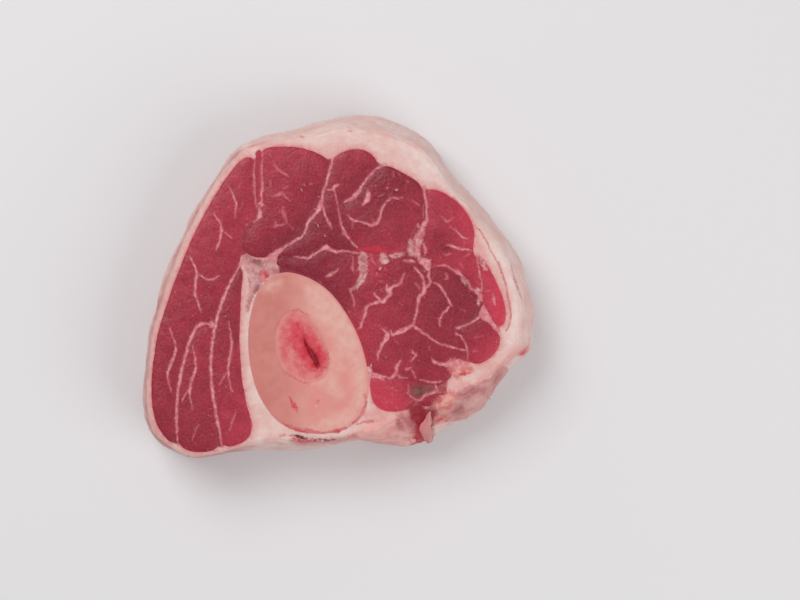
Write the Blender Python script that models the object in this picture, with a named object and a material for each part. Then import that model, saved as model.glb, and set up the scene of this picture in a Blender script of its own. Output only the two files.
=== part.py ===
"""A raw beef shank slice with its round of bone, as closed solids, +Z up.

The slice was sawn straight across the leg and lies on its lower cut face. The origin is in
the middle of its footprint, on the surface it lies on, and +X runs along its longer side.
Sizes and places below are in millimetres, seen from above; the meshes are in metres.
"""
import math

import bmesh
import bpy
from mathutils import Vector

MM = 0.001

# Heights of the cut faces above the resting plane
FAT_TOP = 27.2
BONE_TOP = 27.6
MARROW_TOP = 27.1
TENDON_TOP = 27.5
NOTCH_FLOOR = 8.0

# Space left between two solids that touch
GAP = 0.3

# How far apart the points of a finished outline stand
RIM_STEP = 3.4
BONE_STEP = 3.2
LEAN_STEP = 2.3
SMALL_STEP = 1.5

# Edge of the upper cut face, clockwise from the top left, with how far the belly of the
# outer wall swells past it at each point
CUT_EDGE = [
    (-32.7, 43.3, 3.8), (-30.3, 45.7, 3.5), (-23.0, 48.0, 3.2), (-13.0, 49.7, 4.1),
    (-4.0, 51.7, 5.4), (5.0, 52.3, 6.2), (14.0, 51.3, 6.2), (21.0, 48.7, 5.6),
    (27.3, 45.6, 4.6), (31.3, 40.7, 4.4), (36.7, 33.0, 4.8), (43.7, 26.0, 4.8),
    (50.0, 18.0, 5.1), (55.3, 10.0, 4.6), (58.7, 1.3, 5.3), (60.3, -7.3, 5.5),
    (60.3, -16.0, 6.3), (57.7, -22.7, 4.4), (51.7, -28.7, 4.4), (45.0, -33.7, 8.2),
    (37.7, -38.3, 8.6), (32.0, -41.0, 8.5), (26.0, -43.0, 10.6), (18.0, -44.3, 10.6),
    (9.7, -47.8, 4.2), (-0.7, -51.4, 2.8), (-11.3, -51.8, 3.2), (-20.3, -51.2, 4.6),
    (-30.7, -53.2, 3.0), (-38.7, -55.6, 1.9), (-46.0, -56.7, 2.1), (-53.0, -54.9, 2.3),
    (-59.0, -50.7, 3.3), (-62.7, -42.7, 3.0), (-63.2, -31.3, 3.0), (-61.3, -16.7, 3.2),
    (-56.3, 0.0, 3.3), (-49.0, 18.0, 3.3), (-40.3, 33.7, 3.5),
]
# The outer wall from the resting plane up: height as a share of FAT_TOP, and share of the swell
WALL_PROFILE = [
    (0.0, 0.50), (0.03, 0.66), (0.10, 0.84), (0.22, 0.97), (0.38, 1.0),
    (0.56, 0.90), (0.74, 0.66), (0.88, 0.36), (0.97, 0.10), (1.0, -0.05),
]
# Soft lumps along the wall: height of each, and how many go round the slice
WALL_LUMPS = [(0.45, 7, 0.4), (0.30, 17, 2.1)]
# How much lower or higher the belly sits from one side of the slice to the other
BELLY_SHIFT = 0.22

# Round of bone, and the marrow in its middle with the pit of its dark core
BONE_OUTLINE = [
    (-16.7, 4.3), (-25.0, -0.3), (-28.7, -10.7), (-29.0, -23.3), (-25.7, -36.3), (-18.0, -46.0),
    (-6.3, -49.0), (4.6, -46.4), (9.7, -38.0), (9.7, -26.7), (5.0, -13.0), (-4.3, -0.7),
]
MARROW_OUTLINE = [
    (-13.3, -7.7), (-19.0, -12.0), (-20.3, -20.0), (-17.3, -28.0),
    (-10.3, -32.3), (-4.0, -30.3), (-2.7, -23.7), (-5.7, -15.3),
]
CORE_CENTRE = (-8.9, -22.0)
CORE_SHARE = 0.16
CORE_DEPTH = 2.2

# Lean meat at the front of the leg, and behind and beside the bone
FRONT_LEAN = [
    (-30.7, 42.9), (-28.1, 42.8), (-26.6, 38.7), (-26.8, 27.0), (-29.0, 21.3), (-32.0, 17.7),
    (-33.0, 12.7), (-31.4, 8.0), (-32.0, -1.3), (-32.7, -14.7), (-32.3, -26.3), (-30.7, -38.0),
    (-28.6, -45.3), (-29.6, -51.0), (-37.3, -53.7), (-45.7, -55.3), (-52.9, -53.3), (-57.8, -49.7),
    (-61.0, -42.6), (-61.6, -31.3), (-59.6, -16.5), (-54.5, 0.0), (-47.1, 18.0), (-38.8, 33.0),
    (-34.4, 39.0),
]
REAR_LEAN = [
    (-25.0, 45.3), (-17.3, 46.3), (-9.7, 45.3), (-2.7, 42.3), (-0.3, 43.3), (4.3, 45.3),
    (10.0, 45.0), (14.3, 40.6), (18.0, 39.6), (24.0, 36.3), (29.0, 33.3), (36.0, 30.7),
    (41.7, 26.0), (45.3, 20.0), (45.6, 15.3), (45.2, 12.3), (48.9, 8.3), (53.0, 1.3),
    (55.7, -6.0), (56.0, -12.0), (54.6, -15.3), (54.3, -18.7), (51.7, -23.3), (46.4, -26.2),
    (42.6, -25.4), (39.4, -25.8), (37.6, -28.0), (38.6, -30.6), (35.0, -31.7), (29.3, -31.9),
    (23.3, -31.9), (22.3, -34.7), (25.8, -38.0), (24.6, -40.7), (17.0, -41.7), (12.4, -39.3),
    (11.2, -33.3), (10.9, -25.0), (6.6, -13.4), (-3.0, 0.3), (-16.1, 5.9), (-19.7, 6.3),
    (-20.7, 8.3), (-25.0, 9.7), (-29.0, 10.0), (-31.3, 13.0), (-30.7, 17.3), (-27.3, 21.3),
    (-24.7, 27.0), (-24.7, 37.0),
]

# Seams of fat and silverskin that part the lean into muscles: points along each, with its width
SEAMS = {
    "front_inner": [
        (-37.9, -57.7, 1.3), (-40.0, -44.0, 1.3), (-42.0, -30.0, 1.3),
        (-41.0, -15.0, 1.3), (-37.0, -2.0, 1.3), (-31.0, 9.0, 2.0),
    ],
    "front_outer": [
        (-53.0, -57.0, 1.4), (-53.6, -43.0, 1.3), (-52.0, -29.0, 1.3),
        (-47.0, -14.0, 1.3), (-40.6, -13.0, 2.2),
    ],
    "upper_left": [
        (-2.3, 44.9, 2.4), (-2.0, 41.0, 1.4), (-3.0, 36.7, 1.3), (-4.3, 32.7, 1.3),
        (-5.7, 27.7, 1.8), (-9.3, 21.7, 1.3), (-11.0, 17.7, 1.3), (-17.0, 13.7, 1.3),
        (-21.0, 10.7, 1.8), (-22.0, 6.6, 2.6),
    ],
    "upper_middle": [
        (16.4, 41.9, 1.4), (12.3, 38.3, 1.3), (8.7, 33.7, 1.3), (5.7, 29.7, 1.3),
        (1.7, 26.7, 1.3), (2.3, 20.7, 1.3), (4.3, 15.7, 1.3), (7.7, 11.3, 1.4),
    ],
    "above_bone": [
        (-20.6, 10.0, 1.3), (-13.0, 9.3, 1.3), (-9.3, 9.7, 1.3), (-6.3, 11.3, 1.3), (-3.7, 12.7, 1.3),
        (0.0, 11.7, 1.3), (4.3, 11.3, 1.3), (9.0, 10.7, 1.4),
    ],
    "across_middle": [
        (7.0, 11.0, 1.3), (9.7, 10.7, 1.3), (15.0, 9.7, 2.0), (20.3, 10.7, 1.7),
        (23.7, 11.3, 2.6), (26.3, 10.3, 3.8), (29.7, 7.7, 2.8), (31.7, 6.7, 1.3),
    ],
    "upper_right": [
        (29.3, 35.0, 2.0), (29.3, 29.3, 1.3), (29.7, 25.3, 1.3), (28.7, 21.7, 1.7),
        (27.0, 18.3, 2.0), (25.3, 14.3, 2.9), (25.7, 10.7, 3.5),
    ],
    "beside_bone": [
        (8.7, 11.3, 2.6), (9.0, 6.7, 2.6), (8.0, 3.0, 2.0), (5.7, 0.0, 1.3),
        (5.0, -3.7, 1.3), (5.4, -7.0, 1.3), (3.2, -10.6, 1.4),
    ],
    "heel": [
        (31.0, 7.0, 1.3), (34.7, 6.3, 1.3), (38.0, 5.7, 1.3), (41.3, 3.0, 1.7), (45.0, 0.0, 1.7),
        (47.3, -2.7, 1.7), (48.3, -5.7, 1.8), (49.3, -9.3, 2.8), (51.7, -12.3, 2.2), (55.4, -16.2, 2.0),
    ],
    "edge_strip": [
        (45.0, 12.6, 2.0), (47.0, 9.3, 1.3), (47.7, 4.7, 1.3), (48.0, 0.7, 1.3), (47.5, -2.7, 1.3),
    ],
    "lower_right": [
        (49.0, -9.3, 2.0), (45.7, -11.7, 1.3), (41.0, -13.7, 1.3), (39.7, -15.4, 1.3),
        (42.0, -18.3, 1.3), (43.3, -21.7, 1.3), (43.7, -25.0, 1.3), (43.3, -29.4, 2.0),
    ],
    "below_middle": [
        (9.4, -28.0, 1.3), (13.0, -29.7, 1.3), (17.7, -30.7, 1.3), (21.7, -30.9, 1.3), (25.6, -32.6, 1.3),
    ],
}

# Each muscle: a point inside it, and how far its cut face stands above the fat
MUSCLES = {
    "lean_front_outer": (-50.0, 5.0, 0.6),
    "lean_front_middle": (-47.0, -35.0, 0.7),
    "lean_front_inner": (-35.5, -30.0, 0.5),
    "lean_upper_left": (-15.0, 32.0, 0.8),
    "lean_upper_middle": (5.0, 40.0, 0.6),
    "lean_above_bone": (-3.0, 6.0, 0.5),
    "lean_dark": (17.0, 25.0, 0.7),
    "lean_upper_right": (38.0, 20.0, 0.7),
    "lean_edge_wedge": (52.0, -3.0, 0.5),
    "lean_centre": (25.0, -10.0, 0.8),
    "lean_lower_right": (48.0, -18.0, 0.6),
    "lean_beside_bone": (17.0, -36.0, 0.6),
}
SHOULDER = 0.9
SHOULDER_EASE = 0.35
FOOT = 0.5

# Tendon spot, and the thin strip of lean between it and the outer fat
TENDON_OUTLINE = [
    (24.6, -34.0), (27.0, -33.2), (31.7, -33.4), (36.6, -34.0),
    (34.4, -35.4), (30.0, -36.2), (26.8, -37.4), (24.8, -36.2),
]
STRIP_OUTLINE = [(27.6, -39.2), (29.9, -37.8), (33.0, -36.9), (36.0, -36.6), (34.6, -38.5), (30.7, -39.9)]

# Notch in the lower right of the outer wall, and the curl of membrane that stands in it
NOTCH_OUTLINE = [
    (25.6, -42.4), (28.4, -40.8), (32.3, -41.8), (32.8, -46.2), (33.6, -50.4),
    (33.0, -60.0), (25.2, -60.0), (25.9, -50.6), (25.2, -46.6),
]
CURL_PATH = [(30.7, -43.4), (30.1, -46.0), (31.2, -48.8), (30.2, -51.4)]
CURL_WIDTH = 1.5
CURL_TOP = 24.6
CURL_LEAN = (-0.7, 0.5)

# Surface finish: base colour, roughness
FINISHES = {
    "fat": ((0.74, 0.52, 0.46), 0.38),
    "bone": ((0.72, 0.40, 0.33), 0.45),
    "marrow": ((0.62, 0.17, 0.16), 0.35),
    "lean": ((0.38, 0.055, 0.075), 0.32),
    "tendon": ((0.32, 0.17, 0.15), 0.30),
    "membrane": ((0.60, 0.38, 0.36), 0.30),
}


def clear_scene():
    """Remove whatever the file starts with."""
    for item in list(bpy.data.objects):
        bpy.data.objects.remove(item, do_unlink=True)


def finish(kind):
    """The material of one kind of tissue, made once."""
    if kind in bpy.data.materials:
        return bpy.data.materials[kind]
    colour, roughness = FINISHES[kind]
    material = bpy.data.materials.new(kind)
    material.use_nodes = True
    shader = material.node_tree.nodes["Principled BSDF"]
    shader.inputs["Base Color"].default_value = (*colour, 1.0)
    shader.inputs["Roughness"].default_value = roughness
    shader.inputs["Metallic"].default_value = 0.0
    return material


def blend(p0, p1, p2, p3, t):
    """A point of the smooth curve between p1 and p2, with every further value carried along."""
    weights = (
        -0.5 * t + t**2 - 0.5 * t**3,
        1.0 - 2.5 * t**2 + 1.5 * t**3,
        0.5 * t + 2.0 * t**2 - 1.5 * t**3,
        -0.5 * t**2 + 0.5 * t**3,
    )
    return tuple(sum(w * p[k] for w, p in zip(weights, (p0, p1, p2, p3))) for k in range(len(p1)))


def smooth_curve(points, closed, fineness=8):
    """A dense track along the smooth curve through the points."""
    count = len(points)
    track = []
    for i in range(count if closed else count - 1):
        around = [i - 1, i, i + 1, i + 2]
        if closed:
            corners = [points[k % count] for k in around]
        else:
            corners = [points[min(max(k, 0), count - 1)] for k in around]
        track += [blend(*corners, step / fineness) for step in range(fineness)]
    if not closed:
        track.append(tuple(points[-1]))
    return track


def even_steps(track, step):
    """Points a steady step apart along a closed track, with every further value carried along."""
    ring = track + [track[0]]
    lengths = [math.dist(a[:2], b[:2]) for a, b in zip(ring, ring[1:])]
    count = max(8, round(sum(lengths) / step))
    stride = sum(lengths) / count
    points, span, walked = [], 0, 0.0
    for i in range(count):
        while walked + lengths[span] < i * stride:
            walked += lengths[span]
            span += 1
        share = (i * stride - walked) / lengths[span]
        points.append(tuple(a + (b - a) * share for a, b in zip(ring[span], ring[span + 1])))
    return points


def outline_of(points, step):
    """An evenly stepped outline through a few points."""
    return even_steps(smooth_curve(points, closed=True), step)


def turns_left(outline):
    """Whether the outline runs anticlockwise."""
    return sum(a[0] * b[1] - b[0] * a[1] for a, b in zip(outline, outline[1:] + outline[:1])) > 0


def offset(outline, distances):
    """The outline with each point moved outwards along the normal there."""
    side = 1.0 if turns_left(outline) else -1.0
    moved = []
    for i, point in enumerate(outline):
        before, after = outline[i - 1], outline[(i + 1) % len(outline)]
        along = Vector((after[0] - before[0], after[1] - before[1])).normalized()
        moved.append((point[0] + side * along.y * distances[i], point[1] - side * along.x * distances[i]))
    return moved


def grown(outline, distance):
    """The outline moved outwards by one distance all round."""
    return offset(outline, [distance] * len(outline))


def softened(outline):
    """The outline with its corners eased by their neighbours."""
    eased = []
    for i, (x, y) in enumerate(outline):
        before, after = outline[i - 1], outline[(i + 1) % len(outline)]
        eased.append((0.25 * before[0] + 0.5 * x + 0.25 * after[0], 0.25 * before[1] + 0.5 * y + 0.25 * after[1]))
    return eased


def band(points, extra=0.0):
    """The outline of a seam: both sides of a stroke of changing width, with round ends."""
    track = smooth_curve(points, closed=False, fineness=3)
    left, right = [], []
    for i, point in enumerate(track):
        before, after = track[max(i - 1, 0)], track[min(i + 1, len(track) - 1)]
        along = Vector((after[0] - before[0], after[1] - before[1])).normalized()
        half = 0.5 * point[2] + extra
        left.append((point[0] - along.y * half, point[1] + along.x * half))
        right.append((point[0] + along.y * half, point[1] - along.x * half))
    return left + right[::-1]


def level(outline, height):
    """The outline as a ring at one height."""
    return [(x, y, height) for x, y in outline]


def stacked_solid(name, rings, kind):
    """A closed solid from rings of equal count, lowest first, capped flat at both ends."""
    mesh = bpy.data.meshes.new(name)
    bm = bmesh.new()
    loops = []
    for ring in rings:
        ordered = ring if turns_left(ring) else ring[::-1]
        loops.append([bm.verts.new((x * MM, y * MM, z * MM)) for x, y, z in ordered])
    for lower, upper in zip(loops, loops[1:]):
        for i in range(len(lower)):
            j = (i + 1) % len(lower)
            bm.faces.new((lower[i], lower[j], upper[j], upper[i]))
    bm.faces.new(loops[0][::-1])
    bm.faces.new(loops[-1])
    bm.normal_update()
    bm.to_mesh(mesh)
    bm.free()
    mesh.materials.append(finish(kind))
    mesh.shade_smooth()
    mesh.set_sharp_from_angle(angle=math.radians(40))
    item = bpy.data.objects.new(name, mesh)
    bpy.context.scene.collection.objects.link(item)
    return item


def prism(name, outline, low, high):
    """A straight-sided solid on one outline, to cut with or to be cut."""
    return stacked_solid(name, [level(outline, low), level(outline, high)], "fat")


def cut(item, cutters):
    """Cut the cutters out of the item and drop them."""
    group = bpy.data.collections.new(item.name + "_cutters")
    bpy.context.scene.collection.children.link(group)
    for cutter in cutters:
        bpy.context.scene.collection.objects.unlink(cutter)
        group.objects.link(cutter)
    boolean = item.modifiers.new("cut", "BOOLEAN")
    boolean.operation = "DIFFERENCE"
    boolean.solver = "EXACT"
    boolean.operand_type = "COLLECTION"
    boolean.collection = group
    bpy.context.view_layer.update()
    evaluated = item.evaluated_get(bpy.context.evaluated_depsgraph_get())
    mesh = bpy.data.meshes.new_from_object(evaluated)
    item.modifiers.clear()
    item.data = mesh
    for cutter in cutters:
        bpy.data.objects.remove(cutter, do_unlink=True)
    bpy.data.collections.remove(group)
    mesh.shade_smooth()
    mesh.set_sharp_from_angle(angle=math.radians(40))


def top_outlines(item):
    """The outline, in millimetres, of each separate flat top of a solid."""
    bm = bmesh.new()
    bm.from_mesh(item.data)
    bmesh.ops.remove_doubles(bm, verts=bm.verts, dist=0.01 * MM)
    bm.normal_update()
    tops = {face for face in bm.faces if face.normal.z > 0.9}
    onward = {}
    for face in tops:
        for loop in face.loops:
            if not any(other in tops and other != face for other in loop.edge.link_faces):
                onward[loop.vert] = loop.link_loop_next.vert
    outlines = []
    while onward:
        start = min(onward, key=lambda vert: (vert.co.x, vert.co.y))
        walk = [start]
        while True:
            following = onward.pop(walk[-1])
            if following == start:
                break
            walk.append(following)
        outlines.append([(vert.co.x / MM, vert.co.y / MM) for vert in walk])
    bm.free()
    return outlines


def holds(outline, x, y):
    """Whether the point lies inside the outline."""
    inside = False
    for (ax, ay), (bx, by) in zip(outline, outline[1:] + outline[:1]):
        if (ay > y) != (by > y) and x < ax + (y - ay) * (bx - ax) / (by - ay):
            inside = not inside
    return inside


def muscle_outlines():
    """Each muscle's outline by name: the lean with the seams cut out of it."""
    outlines = {}
    for lean in (FRONT_LEAN, REAR_LEAN):
        block = prism("lean", outline_of(lean, 0.8), 0.0, 10.0)
        cut(block, [prism("seam", band(seam), -2.0, 12.0) for seam in SEAMS.values()])
        for outline in top_outlines(block):
            eased = softened(even_steps(outline, LEAN_STEP))
            for name, (x, y, _) in MUSCLES.items():
                if holds(outline, x, y):
                    outlines[name] = eased
        bpy.data.objects.remove(block, do_unlink=True)
    return outlines


def muscle(name, outline, rise):
    """One muscle cut across: straight sides, a rounded shoulder and a small chamfer at the foot."""
    top = FAT_TOP + rise
    return stacked_solid(name, [
        level(grown(outline, -FOOT), 0.0),
        level(outline, FOOT),
        level(outline, top - SHOULDER),
        level(grown(outline, -SHOULDER_EASE), top - 0.3 * SHOULDER),
        level(grown(outline, -SHOULDER), top),
    ], "lean")


def wall_ring(edge, height, share):
    """One ring of the outer wall: its swell, its lumps, and a belly that sits lower on one side."""
    swells, heights = [], []
    for i, (_, _, swell) in enumerate(edge):
        turn = math.tau * i / len(edge)
        lumps = sum(size * math.sin(count * turn + start) for size, count, start in WALL_LUMPS)
        swells.append(share * swell + lumps * 4.0 * height * (1.0 - height))
        heights.append(FAT_TOP * height ** (1.0 + BELLY_SHIFT * math.sin(2.0 * turn)))
    moved = offset([point[:2] for point in edge], swells)
    return [(x, y, z) for (x, y), z in zip(moved, heights)]


def fat_and_silverskin(pockets):
    """The outer fat and the seams between the muscles, in one piece, with open pockets for the rest."""
    edge = outline_of(CUT_EDGE, RIM_STEP)
    rings = [wall_ring(edge, height, share) for height, share in WALL_PROFILE]
    body = stacked_solid("fat_and_silverskin", rings, "fat")
    cutters = [prism("pocket", grown(outline, GAP), -5.0, 40.0) for outline in pockets]
    cutters.append(prism("notch", NOTCH_OUTLINE, NOTCH_FLOOR, 40.0))
    cut(body, cutters)


def shin_bone(outline, marrow_outline):
    """The round of bone, open right through for the marrow."""
    bone = stacked_solid("shin_bone", [
        level(grown(outline, -FOOT), 0.0),
        level(outline, FOOT),
        level(outline, BONE_TOP - FOOT),
        level(grown(outline, -FOOT), BONE_TOP),
    ], "bone")
    cut(bone, [prism("hole", grown(marrow_outline, GAP), -5.0, 40.0)])


def marrow(outline):
    """The marrow, sunk a little and hollowed at its dark core."""
    core = [
        tuple(centre + (value - centre) * CORE_SHARE for value, centre in zip(point, CORE_CENTRE))
        for point in outline
    ]
    slope = [
        tuple(centre + (value - centre) * 2.2 * CORE_SHARE for value, centre in zip(point, CORE_CENTRE))
        for point in outline
    ]
    stacked_solid("marrow", [
        level(outline, 0.0),
        level(outline, MARROW_TOP - 0.3),
        level(grown(outline, -FOOT), MARROW_TOP),
        level(slope, MARROW_TOP - 0.25 * CORE_DEPTH),
        level(core, MARROW_TOP - CORE_DEPTH),
    ], "marrow")


def membrane_curl():
    """A curl of membrane that stands in the notch and leans as it rises."""
    levels = [NOTCH_FLOOR + GAP, 0.5 * (NOTCH_FLOOR + CURL_TOP), CURL_TOP - 0.6, CURL_TOP]
    rings = []
    for i, height in enumerate(levels):
        share = (height - levels[0]) / (CURL_TOP - levels[0])
        shrink = 0.35 if i == len(levels) - 1 else 0.0
        path = [(x + CURL_LEAN[0] * share, y + CURL_LEAN[1] * share, CURL_WIDTH) for x, y in CURL_PATH]
        rings.append(level(band(path, -shrink), height))
    stacked_solid("membrane_curl", rings, "membrane")


def build():
    clear_scene()
    muscles = muscle_outlines()
    bone_outline = outline_of(BONE_OUTLINE, BONE_STEP)
    marrow_outline = outline_of(MARROW_OUTLINE, BONE_STEP)
    tendon_outline = outline_of(TENDON_OUTLINE, SMALL_STEP)
    strip_outline = outline_of(STRIP_OUTLINE, SMALL_STEP)

    for name, (_, _, rise) in MUSCLES.items():
        muscle(name, muscles[name], rise)
    muscle("lean_thin_strip", strip_outline, 0.2)
    stacked_solid("tendon", [
        level(tendon_outline, 0.0),
        level(tendon_outline, TENDON_TOP - 0.3),
        level(grown(tendon_outline, -0.3), TENDON_TOP),
    ], "tendon")
    shin_bone(bone_outline, marrow_outline)
    marrow(marrow_outline)
    fat_and_silverskin([*muscles.values(), bone_outline, tendon_outline, strip_outline])
    membrane_curl()


build()
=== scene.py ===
"""A slice of raw beef shank: its muscles, the fat and silverskin round them, the bone and its marrow.

Places and sizes are in millimetres, seen from above, in the slice's own frame; the meshes are in metres.
The whole slice is shaped first as one closed body with a finely shaped upper face. Each piece is then cut
out of it along the outline of its node, so that neighbouring pieces meet without gaps.
"""

import math

import bmesh
import bpy
import numpy as np
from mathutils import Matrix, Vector
from mathutils.bvhtree import BVHTree


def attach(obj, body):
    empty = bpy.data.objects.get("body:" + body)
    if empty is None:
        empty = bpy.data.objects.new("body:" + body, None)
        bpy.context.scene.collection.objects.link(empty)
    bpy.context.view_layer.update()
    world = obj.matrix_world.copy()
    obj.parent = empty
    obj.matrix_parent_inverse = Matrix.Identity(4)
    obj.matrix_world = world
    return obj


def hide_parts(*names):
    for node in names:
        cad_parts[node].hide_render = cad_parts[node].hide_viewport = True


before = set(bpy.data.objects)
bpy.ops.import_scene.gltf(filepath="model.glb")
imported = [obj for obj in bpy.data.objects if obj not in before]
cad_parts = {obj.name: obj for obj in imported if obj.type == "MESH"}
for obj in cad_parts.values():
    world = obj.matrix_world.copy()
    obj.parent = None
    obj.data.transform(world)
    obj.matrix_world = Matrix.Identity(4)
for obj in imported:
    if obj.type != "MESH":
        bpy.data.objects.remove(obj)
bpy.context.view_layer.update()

MM = 0.001

# Cut faces: pitch of the upper and the lower mesh, levels of the parts, and the body's ends before the trim
FACE_STEP = 0.33
UNDERSIDE_STEP = 0.9
FAT_LEVEL = 27.2
BONE_LEVEL = 27.55
MARROW_LEVEL = 27.1
BODY_LOW, BODY_HIGH = -3.0, 31.0

# Depth of the blocks that trim the body, and the ends of the columns that cut pieces out of it; the marrow's
# column ends further out, so that no two ends lie in one plane
BLOCK_DEPTH = 12.0
COLUMN_SPAN = (-8.0, 45.0)
CORE_SPAN = (-9.0, 46.0)

# Outer wall: columns round it, pitch of its rows, and the stretch (in degrees) that the notch takes up
WALL_COLUMNS = 760
WALL_STEP = 0.6
NOTCH_SPAN = (-66.5, -50.5)

# Outlines: pitch of their points, and how far each piece grows to close the gaps between the nodes
OUTLINE_STEP = 0.4
CLOSING = 0.2
BONE_CLOSING = 0.3

# How far the distance to a marking is followed, and the depth given to what lies far outside an outline
REACH = 4.0
FAR_OUTSIDE = -50.0

# A node's mesh: what counts as one point, as one level, as a flat cap and as the shortest loop
WELD = 0.01
LEVEL_BAND = 0.02
FLAT = 0.999
SHORTEST_LOOP = 5

# A level above the whole slice, one half way up its wall, and the sharpest edge that is shaded smooth
ABOVE_ALL = 40.0
HALF_WAY_UP = 16.0
SMOOTH_DEGREES = 55.0

# Light inside and on wet tissue: how far it scatters, and how strongly the surface bends it
SCATTER = 0.7
WET_IOR = 1.38

# Muscles: how far each cut face stands above the fat, how much it crowns towards its middle, its shade from
# 0 for the brightest red to 1 for the darkest, and how the shade changes over 10 mm to the right and upwards
LEAN = {
    "lean_front_outer": (0.35, 0.35, 0.50, 0.05, -0.05),
    "lean_front_middle": (0.40, 0.30, 0.55, 0.00, -0.04),
    "lean_front_inner": (0.30, 0.25, 0.50, -0.10, 0.05),
    "lean_upper_left": (0.40, 0.45, 0.58, 0.10, -0.16),
    "lean_upper_middle": (0.30, 0.35, 0.70, 0.00, -0.11),
    "lean_above_bone": (0.25, 0.30, 0.80, -0.15, 0.00),
    "lean_dark": (0.35, 0.45, 0.60, -0.08, 0.10),
    "lean_upper_right": (0.35, 0.40, 0.28, -0.10, -0.08),
    "lean_edge_wedge": (0.25, 0.20, 0.05, -0.50, 0.00),
    "lean_centre": (0.40, 0.50, 0.56, 0.05, 0.04),
    "lean_lower_right": (0.30, 0.35, 0.42, -0.25, 0.30),
    "lean_beside_bone": (0.30, 0.30, 0.13, 0.25, 0.25),
    "lean_thin_strip": (0.10, 0.05, 0.30, 0.00, 0.00),
}

# Stretches where the lean is darker or brighter: centre, spread and change of shade
SHADE_SPOTS = [
    (41.0, -4.0, 7.0, 0.10), (36.0, 13.0, 4.5, 0.35), (8.0, -16.0, 6.0, -0.15), (11.0, 7.0, 4.0, -0.30),
    (16.0, 34.0, 6.0, 0.12), (30.0, -37.0, 4.0, 0.25), (30.0, -21.0, 4.5, 0.12), (34.0, 8.0, 4.0, -0.10),
    (45.0, 16.0, 4.0, -0.10), (-19.0, 41.0, 4.5, 0.06), (-17.3, 27.0, 4.5, -0.16), (-26.0, 15.5, 4.5, -0.14),
    (36.0, 26.0, 4.0, 0.20), (38.0, 9.5, 3.0, -0.18),
]

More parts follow.
